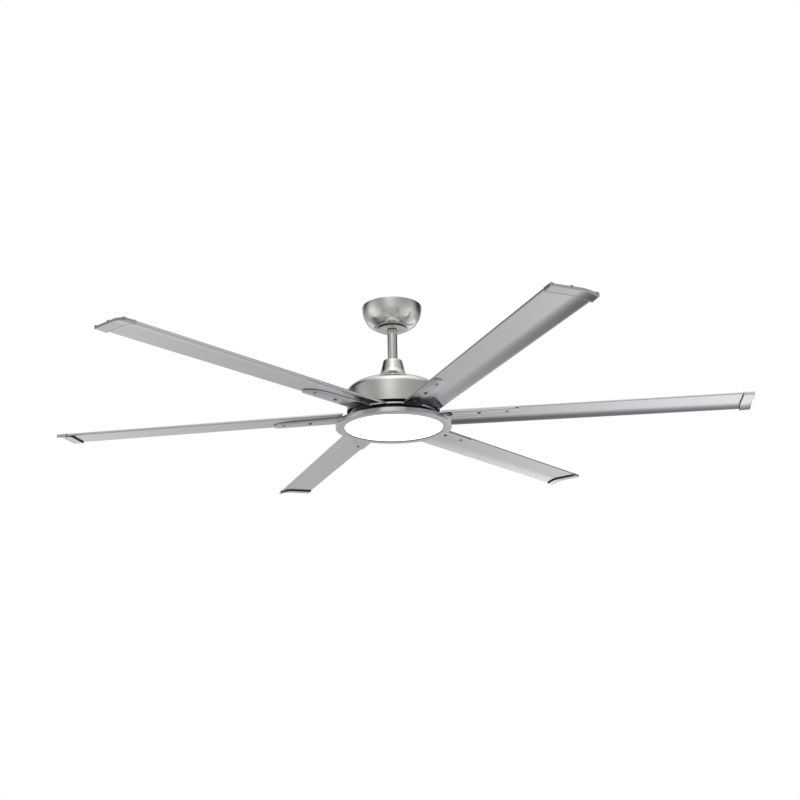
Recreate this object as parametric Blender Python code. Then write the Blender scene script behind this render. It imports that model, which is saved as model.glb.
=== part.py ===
# Six-blade ceiling fan with a round light below the hub, hung on a short rod.
# Metres, +Z up. The origin is on the ceiling plane, at the centre of the hanging bracket.
import math

import bmesh
import bpy
from mathutils import Matrix, Vector
from mathutils.geometry import tessellate_polygon

for leftover in list(bpy.data.objects):
    bpy.data.objects.remove(leftover, do_unlink=True)

MM = 0.001

# ---- driving dimensions (millimetres; heights are above the mean plane of the blade tips) ----
CEILING = 324.5          # ceiling plane above the blade-tip plane
TIP_RADIUS = 914.0       # half of the blade span
BLADE_COUNT = 6
FIRST_BLADE_ANGLE = -10.27  # degrees from +X
GAP = 0.35               # clearance between touching pieces

BALL_Z = CEILING - 36.0  # centre of the hanging ball
BALL_R = 20.0
LINER_IN_R, LINER_OUT_R = 20.4, 23.4
SEAT_R = 23.8
ROD_R, ROD_BORE_R = 13.35, 10.6
ROD_TOP, ROD_BOTTOM = CEILING - 21.5, 134.5

CANOPY_R = 81.2
CANOPY_WALL = 1.4
CANOPY_BOTTOM = 262.2
CANOPY_HOLE_R = 17.6
TRIM_R = 40.0
TRIM_BOTTOM = 259.0

COVER_TOP, COVER_BOTTOM = 170.0, 111.4

DRUM_R = 123.8
DRUM_TOP, DRUM_BOTTOM = 110.8, 24.4
SHOULDER_R, SHOULDER_DROP = 40.2, 34.3
DRUM_WALL = 1.6

SHAFT_R, SHAFT_BORE_R = 8.5, 5.0
SHAFT_TOP, SHAFT_BOTTOM = 127.0, -14.5
STATOR_R = 85.0
STATOR_LOW, STATOR_HIGH = 42.0, 66.0
SLOTS = 12
MAGNET_IN_R, MAGNET_OUT_R = 86.2, 93.2
ROTOR_R = 97.0
FLYWHEEL_R = 118.0
FLYWHEEL_LOW, FLYWHEEL_HIGH = 13.9, 18.6

RING_R, RING_IN_R = 153.5, 131.2
RING_TOP, RING_BOTTOM = -6.9, -19.7
LENS_R = 130.7

BLADE_ROOT = 130.0
CAP_LENGTH = 27.0
LEAD_TIP, TRAIL_TIP = 13.6, 87.8      # edge offsets from the radial line at the tip
LEAD_TAPER, TRAIL_TAPER = 5.7, -8.5   # change of the offsets towards the axis
EDGE_RISE = 5.37                      # leading edge above, trailing edge below the mean plane
DROOP = 8.6                           # the hub end of a blade line above its tip
FLAT_SLOPE = 0.012
BEND_START = 0.61                     # share of the chord where the blade starts to curl down
LEAD_T, MID_T, TRAIL_T = 4.9, 2.4, 5.4
TRAIL_LIFT = 1.2

ARM_INNER, ARM_OUTER = 60.0, 331.0
ARM_T = 3.2
SCREW_X = (152.5, 226.5, 299.0)
SCREW_D = 21.0                        # behind the leading edge

# ------------------------------------------------------------------ helpers


def z(height):
    """Height above the blade-tip plane, to metres below the ceiling."""
    return (height - CEILING) * MM


def material(name, colour, roughness, metallic):
    made = bpy.data.materials.new(name)
    made.use_nodes = True
    shader = made.node_tree.nodes["Principled BSDF"]
    shader.inputs["Base Color"].default_value = (*colour, 1.0)
    shader.inputs["Roughness"].default_value = roughness
    shader.inputs["Metallic"].default_value = metallic
    return made


def put(name, mesh, look, parent=None):
    obj = bpy.data.objects.new(name, mesh)
    bpy.context.scene.collection.objects.link(obj)
    if not mesh.materials:
        mesh.materials.append(look)
    if parent is not None:
        obj.parent = parent
        obj.matrix_parent_inverse = parent.matrix_world.inverted()
    return obj


def mesh_of(bm, name, smooth=True):
    bmesh.ops.recalc_face_normals(bm, faces=bm.faces)
    mesh = bpy.data.meshes.new(name)
    bm.to_mesh(mesh)
    bm.free()
    if smooth:
        mesh.shade_smooth()
        mesh.set_sharp_from_angle(angle=math.radians(32))
    return mesh


def empty(name, location, parent=None):
    obj = bpy.data.objects.new(name, None)
    obj.empty_display_size = 0.03
    obj.location = location
    bpy.context.scene.collection.objects.link(obj)
    bpy.context.view_layer.update()
    if parent is not None:
        obj.parent = parent
        obj.matrix_parent_inverse = parent.matrix_world.inverted()
    bpy.context.view_layer.update()
    return obj


def turned_mesh(name, profile, segments):
    """Closed loop of (radius, height) in mm, turned about Z."""
    bm = bmesh.new()
    rings = []
    for radius, height in profile:
        if radius < 1e-6:
            rings.append([bm.verts.new((0, 0, z(height)))])
            continue
        rings.append(
            [
                bm.verts.new(
                    (
                        radius * MM * math.cos(math.tau * k / segments),
                        radius * MM * math.sin(math.tau * k / segments),
                        z(height),
                    )
                )
                for k in range(segments)
            ]
        )
    for a, b in zip(rings, rings[1:] + rings[:1]):
        if len(a) == 1 and len(b) == 1:
            continue
        for k in range(segments):
            n = (k + 1) % segments
            if len(a) == 1:
                bm.faces.new((a[0], b[n], b[k]))
            elif len(b) == 1:
                bm.faces.new((a[k], a[n], b[0]))
            else:
                bm.faces.new((a[k], a[n], b[n], b[k]))
    return mesh_of(bm, name)


def turned(name, profile, segments, look, parent=None):
    return put(name, turned_mesh(name, profile, segments), look, parent)


def arc(radius, centre, start, end, steps):
    """Points (r, height) on a circle round centre, with angles from straight down."""
    points = []
    for k in range(steps + 1):
        angle = math.radians(start + (end - start) * k / steps)
        points.append(
            (centre[0] + radius * math.sin(angle), centre[1] - radius * math.cos(angle))
        )
    return points


def plate_mesh(name, outline, holes, low, high, smooth=False):
    """Flat plate with holes. low and high map (x, y) in mm to a height."""
    loops = [outline] + holes
    flat = [[Vector((x, y, 0)) for x, y in loop] for loop in loops]
    triangles = tessellate_polygon(flat)
    points = [p for loop in loops for p in loop]
    bm = bmesh.new()
    under = [bm.verts.new((x * MM, y * MM, z(low(x, y)))) for x, y in points]
    over = [bm.verts.new((x * MM, y * MM, z(high(x, y)))) for x, y in points]
    for tri in triangles:
        bm.faces.new([over[i] for i in tri])
        bm.faces.new([under[i] for i in reversed(tri)])
    start = 0
    for loop in loops:
        n = len(loop)
        for k in range(n):
            i, j = start + k, start + (k + 1) % n
            bm.faces.new((under[i], under[j], over[j], over[i]))
        start += n
    # Neighbouring triangles in one plane become one face, also where three corners are in line.
    bmesh.ops.dissolve_limit(
        bm, angle_limit=0.0005, verts=list(bm.verts), edges=list(bm.edges)
    )
    return mesh_of(bm, name, smooth)


def slab_mesh(name, outline, holes, y0, y1):
    """Outline and holes as (x, height) in mm, carried straight along Y."""
    mesh = plate_mesh(name, outline, holes, lambda x, y: CEILING, lambda x, y: CEILING + 1)
    for vertex in mesh.vertices:
        x, height = vertex.co.x, vertex.co.y / MM
        vertex.co = (x, (y0 if vertex.co.z < 0.5 * MM else y1) * MM, z(height))
    mesh.flip_normals()
    return mesh


def circle(cx, cy, radius, steps, turn=0.0):
    return [
        (
            cx + radius * math.cos(math.tau * k / steps + turn),
            cy + radius * math.sin(math.tau * k / steps + turn),
        )
        for k in range(steps)
    ]


def level(height):
    return lambda x, y: height


def box_mesh(name, x0, x1, y0, y1, low, high):
    return plate_mesh(
        name, [(x0, y0), (x1, y0), (x1, y1), (x0, y1)], [], level(low), level(high)
    )


def rod_mesh(name, start, end, radius, steps):
    """Round bar between two points given as (x, y, height) in mm."""
    a = Vector((start[0] * MM, start[1] * MM, z(start[2])))
    b = Vector((end[0] * MM, end[1] * MM, z(end[2])))
    bm = bmesh.new()
    along = b - a
    turn = along.to_track_quat("Z", "X").to_matrix().to_4x4()
    bmesh.ops.create_cone(
        bm,
        cap_ends=True,
        segments=steps,
        radius1=radius * MM,
        radius2=radius * MM,
        depth=along.length,
        matrix=Matrix.Translation((a + b) / 2) @ turn,
    )
    return mesh_of(bm, name)


def helper(mesh):
    """A cutter or a tool body that isn't part of the object."""
    obj = bpy.data.objects.new("helper_" + mesh.name, mesh)
    bpy.context.scene.collection.objects.link(obj)
    obj.hide_render = True
    obj.display_type = "WIRE"
    return obj


def combine(obj, mesh, operation):
    tool = helper(mesh)
    step = obj.modifiers.new(operation.lower(), "BOOLEAN")
    step.operation = operation
    step.solver = "EXACT"
    step.object = tool
    return obj


def settled(obj):
    """Replaces an object's mesh by the result of its modifiers, for pieces that share it."""
    bpy.context.view_layer.update()
    graph = bpy.context.evaluated_depsgraph_get()
    mesh = bpy.data.meshes.new_from_object(obj.evaluated_get(graph))
    tools = [step.object for step in obj.modifiers if step.type == "BOOLEAN"]
    obj.modifiers.clear()
    obj.data = mesh
    for tool in tools:
        bpy.data.objects.remove(tool, do_unlink=True)
    return mesh


# ------------------------------------------------------------------ finishes
SATIN_NICKEL = material("satin_nickel", (0.63, 0.62, 0.60), 0.28, 1.0)
BLADE_SILVER = material("blade_silver", (0.60, 0.595, 0.625), 0.34, 1.0)
ARM_STEEL = material("arm_steel", (0.58, 0.578, 0.595), 0.36, 1.0)
CAST_DARK = material("cast_dark", (0.05, 0.05, 0.055), 0.55, 0.6)
ZINC = material("zinc_steel", (0.62, 0.62, 0.60), 0.38, 1.0)
BLACK_PLASTIC = material("black_plastic", (0.02, 0.02, 0.02), 0.5, 0.0)
WHITE_PLASTIC = material("white_plastic", (0.8, 0.8, 0.78), 0.45, 0.0)
LIGHT_RING_GREY = material("light_ring_grey", (0.52, 0.52, 0.54), 0.33, 1.0)
DIFFUSER = material("diffuser", (0.95, 0.95, 0.94), 0.5, 0.0)
COPPER = material("copper_wire", (0.72, 0.32, 0.16), 0.35, 1.0)
LAMINATION = material("lamination_steel", (0.30, 0.30, 0.32), 0.45, 1.0)
MAGNET = material("magnet", (0.10, 0.10, 0.11), 0.5, 0.3)
BEARING_STEEL = material("bearing_steel", (0.70, 0.70, 0.71), 0.2, 1.0)
BOARD_GREEN = material("board_green", (0.03, 0.20, 0.09), 0.5, 0.0)
NYLON = material("nylon", (0.75, 0.74, 0.68), 0.5, 0.0)
SCREW_BLACK = material("screw_black", (0.22, 0.22, 0.225), 0.35, 0.9)

ball_centre = (0, 0, z(BALL_Z))
swing_1 = empty("axis_swing_liner", ball_centre)
swing_2 = empty("axis_swing_rod", ball_centre, swing_1)
spin = empty("axis_rotor_spin", (0, 0, z(FLYWHEEL_LOW)), swing_2)

# ------------------------------------------------------------------ ceiling side
# Two canopy screws, a little off the X axis so that each one is clear of a facet edge.
CANOPY_SCREWS = [
    (32.0 * math.cos(math.radians(turn)), 32.0 * math.sin(math.radians(turn)))
    for turn in (185.0, 5.0)
]

# Hanging bracket: a channel folded down from the ceiling plate, with a spherical seat for the ball.
PLATE_T = 2.5
LEG_OUT, LEG_IN = 38.5, 36.0
SEAT_LOW = CEILING - 54.5
LEDGE = CEILING - 15.6       # tabs in the legs that carry the receiver box
under_plate = CEILING - PLATE_T
bracket = put(
    "ceiling_bracket",
    slab_mesh(
        "ceiling_bracket",
        [
            (-59, CEILING),
            (-59, under_plate + 0.3),
            (-LEG_OUT - 2, under_plate),
            (-LEG_OUT, under_plate - 1.6),
            (-LEG_OUT, SEAT_LOW),
            (LEG_OUT, SEAT_LOW),
            (LEG_OUT, under_plate - 1.6),
            (LEG_OUT + 2, under_plate),
            (59, under_plate + 0.3),
            (59, CEILING),
        ],
        [
            [
                (-LEG_IN, under_plate - 0.2),
                (-LEG_IN, LEDGE),
                (-LEG_IN + 5, LEDGE),
                (-LEG_IN + 5, LEDGE - 1.3),
                (-LEG_IN, LEDGE - 1.3),
                (-LEG_IN, SEAT_LOW + 2.5),
                (LEG_IN, SEAT_LOW + 2.5),
                (LEG_IN, LEDGE - 1.3),
                (LEG_IN - 5, LEDGE - 1.3),
                (LEG_IN - 5, LEDGE),
                (LEG_IN, LEDGE),
                (LEG_IN, under_plate - 0.2),
            ]
        ],
        -20,
        20,
    ),
    ZINC,
)
combine(bracket, rod_mesh("seat_hole", (0, 0, SEAT_LOW - 2), (0, 0, SEAT_LOW + 5), 19.0, 20), "DIFFERENCE")
seat_profile = arc(SEAT_R, (0, BALL_Z), 48, 75, 3)
seat_profile += [(26.0, seat_profile[-1][1]), (26.0, SEAT_LOW - 0.6), (seat_profile[0][0], SEAT_LOW - 0.6)]
combine(bracket, turned_mesh("seat_ring", seat_profile, 28), "UNION")
for index, (x, y) in enumerate(CANOPY_SCREWS, 1):
    combine(bracket, rod_mesh(f"seat_screw_hole_{index}", (x, y, SEAT_LOW - 2), (x, y, SEAT_LOW + 5), 2.4, 8), "DIFFERENCE")
for index, x in enumerate((-48.5, 48.5), 1):
    combine(bracket, rod_mesh(f"ceiling_hole_{index}", (x, 0, CEILING - 6), (x, 0, CEILING + 3), 3.2, 10), "DIFFERENCE")

# Nylon liner between the ball and its seat.
liner_profile = arc(LINER_IN_R, (0, BALL_Z), 50, 78, 3) + arc(
    LINER_OUT_R, (0, BALL_Z), 78, 52, 3
)
turned("ball_seat_liner", liner_profile, 28, NYLON, swing_1)

# Ball: bored for the rod, cross-drilled for the pin, flat above and below.
ball_profile = arc(BALL_R, (0, BALL_Z), 45.6, 134.4, 6)
ball_profile += [(13.7, ball_profile[-1][1]), (13.7, ball_profile[0][1])]
ball = turned("hanger_ball", ball_profile, 28, BLACK_PLASTIC, swing_2)
combine(ball, rod_mesh("ball_cross_hole", (-30, 0, BALL_Z), (30, 0, BALL_Z), 3.4, 12), "DIFFERENCE")
put("ball_pin", rod_mesh("ball_pin", (-18.6, 0, BALL_Z), (18.6, 0, BALL_Z), 3.0, 12), ZINC, swing_2)

# Hanging rod: a plain tube with two cross holes.
PIN_Z = 146.0
rod = turned(
    "downrod",
    [(ROD_BORE_R, ROD_TOP), (ROD_R, ROD_TOP), (ROD_R, ROD_BOTTOM), (ROD_BORE_R, ROD_BOTTOM)],
    24,
    SATIN_NICKEL,
    swing_2,
)
for height in (BALL_Z, PIN_Z):
    combine(rod, rod_mesh(f"rod_hole_{height:.0f}", (-25, 0, height), (25, 0, height), 3.4, 12), "DIFFERENCE")

# Canopy: a deep spun bowl with a flat floor.
outer = [
    (81.1, CEILING - 0.5),
    (81.1, CEILING - 13.0),
    (77.2, CEILING - 28.5),
    (68.2, CEILING - 44.5),
    (55.2, CEILING - 56.8),
    (43.0, CANOPY_BOTTOM),
    (CANOPY_HOLE_R, CANOPY_BOTTOM),
]
inner = [
    (CANOPY_HOLE_R, CANOPY_BOTTOM + CANOPY_WALL),
    (42.6, CANOPY_BOTTOM + CANOPY_WALL),
    (54.4, CEILING - 55.6),
    (67.0, CEILING - 43.6),
    (75.8, CEILING - 27.9),
    (79.7, CEILING - 12.7),
    (79.7, CEILING - 0.5),
]
canopy = turned("canopy", outer + inner, 36, SATIN_NICKEL)
for index, (x, y) in enumerate(CANOPY_SCREWS, 1):
    combine(
        canopy,
        rod_mesh(f"canopy_hole_{index}", (x, y, 255), (x, y, 270), 2.6, 10),
        "DIFFERENCE",
    )
    # Screw with a flat head below the canopy floor; its shank ends in the seat plate.
    screw = turned_mesh(
        f"canopy_screw_{index}",
        [(0, 273.0), (2.0, 273.0), (2.0, 261.8), (4.6, 261.8), (4.4, 260.9), (0, 260.9)],
        12,
    )
    obj = put(f"canopy_screw_{index}", screw, ZINC)
    obj.location = (x * MM, y * MM, 0)

# Trim ring: a shallow cap that hides the canopy screws.
turned(
    "canopy_trim_ring",
    [
        (16.9, TRIM_BOTTOM),
        (38.8, TRIM_BOTTOM),
        (TRIM_R, TRIM_BOTTOM + 1.2),
        (TRIM_R, CANOPY_BOTTOM - 0.7),
        (38.4, CANOPY_BOTTOM - 0.7),
        (38.4, TRIM_BOTTOM + 1.4),
        (16.9, TRIM_BOTTOM + 1.4),
    ],
    36,
    SATIN_NICKEL,
)

# Receiver box in the bracket channel, and the terminal block on the bracket's left leg.
def rounded(x0, x1, y0, y1, corner, steps=3):
    points = []
    for cx, cy, start in (
        (x1 - corner, y1 - corner, 0),
        (x0 + corner, y1 - corner, 90),
        (x0 + corner, y0 + corner, 180),
        (x1 - corner, y0 + corner, 270),
    ):
        for k in range(steps + 1):
            angle = math.radians(start + 90 * k / steps)
            points.append((cx + corner * math.cos(angle), cy + corner * math.sin(angle)))
    return points


put(
    "receiver_box",
    plate_mesh(
        "receiver_box",
        rounded(-33.5, 33.5, -21, 21, 4),
        [],
        level(LEDGE + 0.35),
        level(CEILING - 3.0),
    ),
    WHITE_PLASTIC,
)
block = put(
    "terminal_block",
    box_mesh("terminal_block", -52.0, -38.9, -17, 17, CEILING - 24, CEILING - 9),
    WHITE_PLASTIC,
)
for k, y in enumerate((-11, 0, 11)):
    combine(
        block,
        rod_mesh(f"block_hole_{k}", (-60, y, CEILING - 18), (-43, y, CEILING - 18), 2.4, 8),
        "DIFFERENCE",
    )

# ------------------------------------------------------------------ coupling
turned(
    "coupling_cover",
    [
        (14.4, COVER_TOP),
        (22.5, COVER_TOP),
        (25.6, COVER_TOP - 1.6),
        (27.0, COVER_TOP - 5.0),
        (29.4, 154.0),
        (31.9, 143.0),
        (33.6, 137.0),
        (36.6, 131.0),
        (41.0, 125.7),
        (46.0, 121.5),
        (46.0, COVER_BOTTOM),
        (44.5, COVER_BOTTOM),
        (44.5, 120.8),
        (39.9, 124.6),
        (35.2, 130.2),
        (32.1, 136.6),
        (30.4, 142.7),
        (25.5, 164.8),
        (24.6, COVER_TOP - 2.7),
        (21.9, COVER_TOP - 1.5),
        (14.4, COVER_TOP - 1.5),
    ],
    32,
    SATIN_NICKEL,
    swing_2,
)
yoke = turned(
    "motor_coupling",
    [
        (9.0, 111.2),
        (30.0, 111.2),
        (30.0, 114.2),
        (19.0, 118.5),
        (19.0, 160.0),
        (13.75, 160.0),
        (13.75, 133.0),
        (9.0, 133.0),
    ],
    24,
    ZINC,
    swing_2,
)
combine(yoke, rod_mesh("yoke_pin_hole", (-35, 0, PIN_Z), (35, 0, PIN_Z), 3.4, 12), "DIFFERENCE")
combine(yoke, rod_mesh("yoke_screw_hole", (0, 9, 153), (0, 30, 153), 2.9, 10), "DIFFERENCE")
put(
    "coupling_set_screw",
    rod_mesh("coupling_set_screw", (0, 13.9, 153), (0, 21.4, 153), 2.5, 10),
    SCREW_BLACK,
    swing_2,
)
pin = put("coupling_pin", rod_mesh("coupling_pin", (-22.0, 0, PIN_Z), (25.4, 0, PIN_Z), 3.0, 12), ZINC, swing_2)
combine(pin, rod_mesh("pin_head", (-24.0, 0, PIN_Z), (-20.8, 0, PIN_Z), 5.2, 12), "UNION")
combine(pin, rod_mesh("clip_hole", (22.6, 0, PIN_Z - 8), (22.6, 0, PIN_Z + 8), 1.25, 8), "DIFFERENCE")

# Spring clip: one leg through the pin, the other bowed round its outside.
clip_curve = bpy.data.curves.new("coupling_pin_clip", "CURVE")
clip_curve.dimensions = "3D"
clip_curve.bevel_depth = 0.8 * MM
clip_curve.bevel_resolution = 1
clip_curve.use_fill_caps = True
path = [(0.0, -7.0), (0.0, 0.0), (0.0, 8.0)]
path += [
    (2.6 - 2.6 * math.cos(math.pi * k / 6), 8.0 + 2.6 * math.sin(math.pi * k / 6))
    for k in range(1, 6)
]
path += [(5.2, 8.0), (5.4, 4.0), (5.3, 0.0), (5.0, -3.5), (5.9, -6.0)]
spline = clip_curve.splines.new("POLY")
spline.points.add(len(path) - 1)
for point, (y, dz) in zip(spline.points, path):
    point.co = (22.6 * MM, y * MM, z(PIN_Z + dz), 1.0)
clip_curve.materials.append(ZINC)
clip = bpy.data.objects.new("coupling_pin_clip", clip_curve)
bpy.context.scene.collection.objects.link(clip)
clip.parent = swing_2
clip.matrix_parent_inverse = swing_2.matrix_world.inverted()

# ------------------------------------------------------------------ motor, fixed pieces
turned(
    "motor_shaft",
    [
        (SHAFT_BORE_R, SHAFT_TOP),
        (SHAFT_R - 0.8, SHAFT_TOP),
        (SHAFT_R, SHAFT_TOP - 1.2),
        (SHAFT_R, SHAFT_BOTTOM + 1.2),
        (SHAFT_R - 0.8, SHAFT_BOTTOM),
        (SHAFT_BORE_R, SHAFT_BOTTOM),
    ],
    20,
    ZINC,
    swing_2,
)


def hexagon_nut(name, across, bore, low, high, look, parent):
    mesh = plate_mesh(
        name,
        circle(0, 0, across / math.sqrt(3), 6, math.radians(30)),
        [circle(0, 0, bore, 16)],
        level(low),
        level(high),
    )
    return put(name, mesh, look, parent)


hexagon_nut("housing_lock_nut", 30.0, 9.0, 102.2, 108.7, ZINC, swing_2)
hexagon_nut("light_lock_nut", 27.0, 9.0, -13.0, -8.9, ZINC, swing_2)



def shoulder(wall, steps):
    """Quarter ellipse from the flat top of the drum down to its side."""
    return [
        (
            SHOULDER_R + (DRUM_R - wall - SHOULDER_R) * math.sin(math.pi / 2 * k / steps),
            DRUM_TOP - wall - (SHOULDER_DROP - wall) * (1 - math.cos(math.pi / 2 * k / steps)),
        )
        for k in range(steps + 1)
    ]


turned(
    "motor_housing",
    [(9.0, DRUM_TOP)]
    + shoulder(0.0, 7)
    + [(DRUM_R, DRUM_BOTTOM), (DRUM_R - DRUM_WALL, DRUM_BOTTOM)]
    + shoulder(DRUM_WALL, 6)[::-1]
    + [(9.0, DRUM_TOP - DRUM_WALL)],
    40,
    SATIN_NICKEL,
    swing_2,
)

# Stator: a toothed stack of laminations.
tooth_outline = []
for k in range(SLOTS):
    middle = math.tau * k / SLOTS
    half_tip = math.radians(12.2)
    ux, uy = math.cos(middle), math.sin(middle)
    vx, vy = -uy, ux
    for radial, across in ((45.5, -7.0), (77.5, -7.0)):
        tooth_outline.append((radial * ux + across * vx, radial * uy + across * vy))
    for step in (-1.0, -0.5, 0.0, 0.5, 1.0):
        angle = middle + half_tip * step
        if step == -1.0:
            tooth_outline.append((80.0 * math.cos(angle), 80.0 * math.sin(angle)))
        tooth_outline.append((STATOR_R * math.cos(angle), STATOR_R * math.sin(angle)))
        if step == 1.0:
            tooth_outline.append((80.0 * math.cos(angle), 80.0 * math.sin(angle)))
    for radial, across in ((77.5, 7.0), (45.5, 7.0)):
        tooth_outline.append((radial * ux + across * vx, radial * uy + across * vy))
put(
    "stator_core",
    plate_mesh(
        "stator_core",
        tooth_outline,
        [circle(0, 0, 8.9, 20)],
        level(STATOR_LOW),
        level(STATOR_HIGH),
    ),
    LAMINATION,
    swing_2,
)


def coil_mesh(name, turn):
    """Tapered coil round one tooth, its long axis on the radius at angle turn."""
    bm = bmesh.new()
    stations = []
    for radial, half in ((50.5, 11.4), (76.0, 16.6)):
        loops = []
        for across, low, high in ((half, 34.6, 73.4), (7.5, STATOR_LOW - 0.5, STATOR_HIGH + 0.5)):
            loops.append(
                [
                    bm.verts.new(
                        (
                            (radial * math.cos(turn) - y * math.sin(turn)) * MM,
                            (radial * math.sin(turn) + y * math.cos(turn)) * MM,
                            z(h),
                        )
                    )
                    for y, h in ((-across, low), (across, low), (across, high), (-across, high))
                ]
            )
        stations.append(loops)
    (a_out, a_in), (b_out, b_in) = stations
    for k in range(4):
        n = (k + 1) % 4
        bm.faces.new((a_out[k], a_out[n], a_in[n], a_in[k]))
        bm.faces.new((b_out[n], b_out[k], b_in[k], b_in[n]))
        bm.faces.new((a_out[n], a_out[k], b_out[k], b_out[n]))
        bm.faces.new((a_in[k], a_in[n], b_in[n], b_in[k]))
    return mesh_of(bm, name, smooth=False)


# Winding: twelve coils joined by the ring of their connecting wires.
winding = turned(
    "stator_winding",
    [(56.0, 72.0), (64.0, 72.0), (64.0, 75.5), (56.0, 75.5)],
    24,
    COPPER,
    swing_2,
)
for k in range(SLOTS):
    combine(winding, coil_mesh(f"coil_{k}", math.tau * k / SLOTS), "UNION")

put(
    "motor_board",
    plate_mesh("motor_board", circle(0, 0, 80, 32), [circle(0, 0, 28, 20)], level(30.6), level(32.2)),
    BOARD_GREEN,
    swing_2,
)


def race(name, in_r, out_r, low, look, parent, width=12.0):
    """One ring of a shielded bearing."""
    profile = [(in_r, low), (out_r, low), (out_r, low + width), (in_r, low + width)]
    return turned(name, profile, 20, look, parent)


UPPER_BEARING_LOW, LOWER_BEARING_LOW = 77.0, 27.0
race("upper_bearing_inner_race", 8.9, 13.2, UPPER_BEARING_LOW, BEARING_STEEL, swing_2)
race("lower_bearing_inner_race", 8.9, 13.2, LOWER_BEARING_LOW, BEARING_STEEL, swing_2)

# ------------------------------------------------------------------ motor, turning pieces
race("upper_bearing_outer_race", 13.9, 20.0, UPPER_BEARING_LOW, BEARING_STEEL, spin)
race("lower_bearing_outer_race", 13.9, 20.0, LOWER_BEARING_LOW, BEARING_STEEL, spin)
turned(
    "rotor_cover",
    [
        (13.8, 92.0),
        (ROTOR_R, 92.0),
        (ROTOR_R, 88.1),
        (25.0, 88.1),
        (25.0, 76.5),
        (20.4, 76.5),
        (20.4, 89.4),
        (13.8, 89.4),
    ],
    28,
    CAST_DARK,
    spin,
)
turned(
    "rotor_housing",
    [
        (13.8, 24.0),
        (13.8, 26.6),
        (20.4, 26.6),
        (20.4, 39.5),
        (25.0, 39.5),
        (25.0, 27.6),
        (93.6, 27.6),
        (93.6, 87.7),
        (ROTOR_R, 87.7),
        (ROTOR_R, 24.0),
        (78.0, 24.0),
        (78.0, 19.0),
        (50.0, 19.0),
        (50.0, 24.0),
    ],
    32,
    CAST_DARK,
    spin,
)
turned(
    "magnet_ring",
    [(MAGNET_IN_R, 36.0), (MAGNET_OUT_R, 36.0), (MAGNET_OUT_R, 72.0), (MAGNET_IN_R, 72.0)],
    32,
    MAGNET,
    spin,
)

# Flywheel: the disc that carries the blade arms, with a stud pair for each arm
# and a post between each two arms for the hub cover.
flywheel = turned(
    "flywheel",
    [
        (30.0, FLYWHEEL_LOW),
        (FLYWHEEL_R - 0.8, FLYWHEEL_LOW),
        (FLYWHEEL_R, FLYWHEEL_LOW + 0.8),
        (FLYWHEEL_R, FLYWHEEL_HIGH - 0.8),
        (FLYWHEEL_R - 0.8, FLYWHEEL_HIGH),
        (30.0, FLYWHEEL_HIGH),
    ],
    32,
    ZINC,
    spin,
)
STUD_X = (80.0, 98.0)
STUD_Y = 3.0
for k in range(BLADE_COUNT):
    turn = math.radians(FIRST_BLADE_ANGLE + 60 * k)
    for x in STUD_X:
        px = x * math.cos(turn) - STUD_Y * math.sin(turn)
        py = x * math.sin(turn) + STUD_Y * math.cos(turn)
        combine(
            flywheel,
            rod_mesh(f"stud_{k}_{x:.0f}", (px, py, 4.5), (px, py, FLYWHEEL_LOW + 1.0), 2.4, 6),
            "UNION",
        )
    turn += math.radians(30)
    px, py = 92 * math.cos(turn), 92 * math.sin(turn)
    combine(
        flywheel,
        rod_mesh(f"post_{k}", (px, py, -2.7), (px, py, FLYWHEEL_LOW + 1.0), 4.0, 6),
        "UNION",
    )

# Hub cover: a dark dish under the arm roots.
turned(
    "hub_cover",
    [
        (21.0, -4.8),
        (116.0, -4.8),
        (116.0, 7.6),
        (113.6, 7.6),
        (113.6, -3.2),
        (71.0, -3.2),
        (71.0, 7.6),
        (67.5, 7.6),
        (67.5, -3.2),
        (21.0, -3.2),
    ],
    32,
    CAST_DARK,
    spin,
)

# ------------------------------------------------------------------ blades
# A blade lies along +X with its leading edge towards -Y, and is turned to its place.


def lead(x):
    return LEAD_TIP + LEAD_TAPER * (1 - x / TIP_RADIUS)


def trail(x):
    return TRAIL_TIP + TRAIL_TAPER * (1 - x / TIP_RADIUS)


def line_height(x):
    return DROOP * (1 - x / TIP_RADIUS)


def under_height(x, behind):
    """Height of the blade's underside at a distance behind its leading edge."""
    chord = lead(x) + trail(x)
    start = BEND_START * chord
    drop = 2 * EDGE_RISE - TRAIL_LIFT - FLAT_SLOPE * chord
    curl = drop / (chord - start) ** 2
    return (
        line_height(x)
        + EDGE_RISE
        - FLAT_SLOPE * behind
        - curl * max(0.0, behind - start) ** 2
    )


def blade_section(x):
    """Loop of (y, height) round the blade at x: along the underside, then back over the top."""
    chord = lead(x) + trail(x)
    shares = [0.09, BEND_START, 0.71, 0.80, 0.9]

    def thick(share):
        if share < 0.09:
            return LEAD_T + (MID_T - LEAD_T) * share / 0.09
        if share < 0.9:
            return MID_T
        return MID_T + (TRAIL_T - MID_T) * min(1.0, (share - 0.9) / 0.07)

    loop = []
    y0 = -lead(x)
    # leading edge, rounded
    top = under_height(x, 0) + LEAD_T
    loop += [
        (y0 + 1.2, top),
        (y0, top - 1.4),
        (y0, under_height(x, 0) + 1.2),
        (y0 + 1.2, under_height(x, 0)),
    ]
    for share in shares:
        loop.append((y0 + share * chord, under_height(x, share * chord)))
    end = y0 + chord
    low = under_height(x, chord)
    loop += [
        (end - 1.4, low),
        (end, low + 1.4),
        (end, low + TRAIL_T - 1.4),
        (end - 1.6, low + TRAIL_T),
    ]
    for share in reversed(shares):
        loop.append((y0 + share * chord, under_height(x, share * chord) + thick(share)))
    return loop


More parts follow.
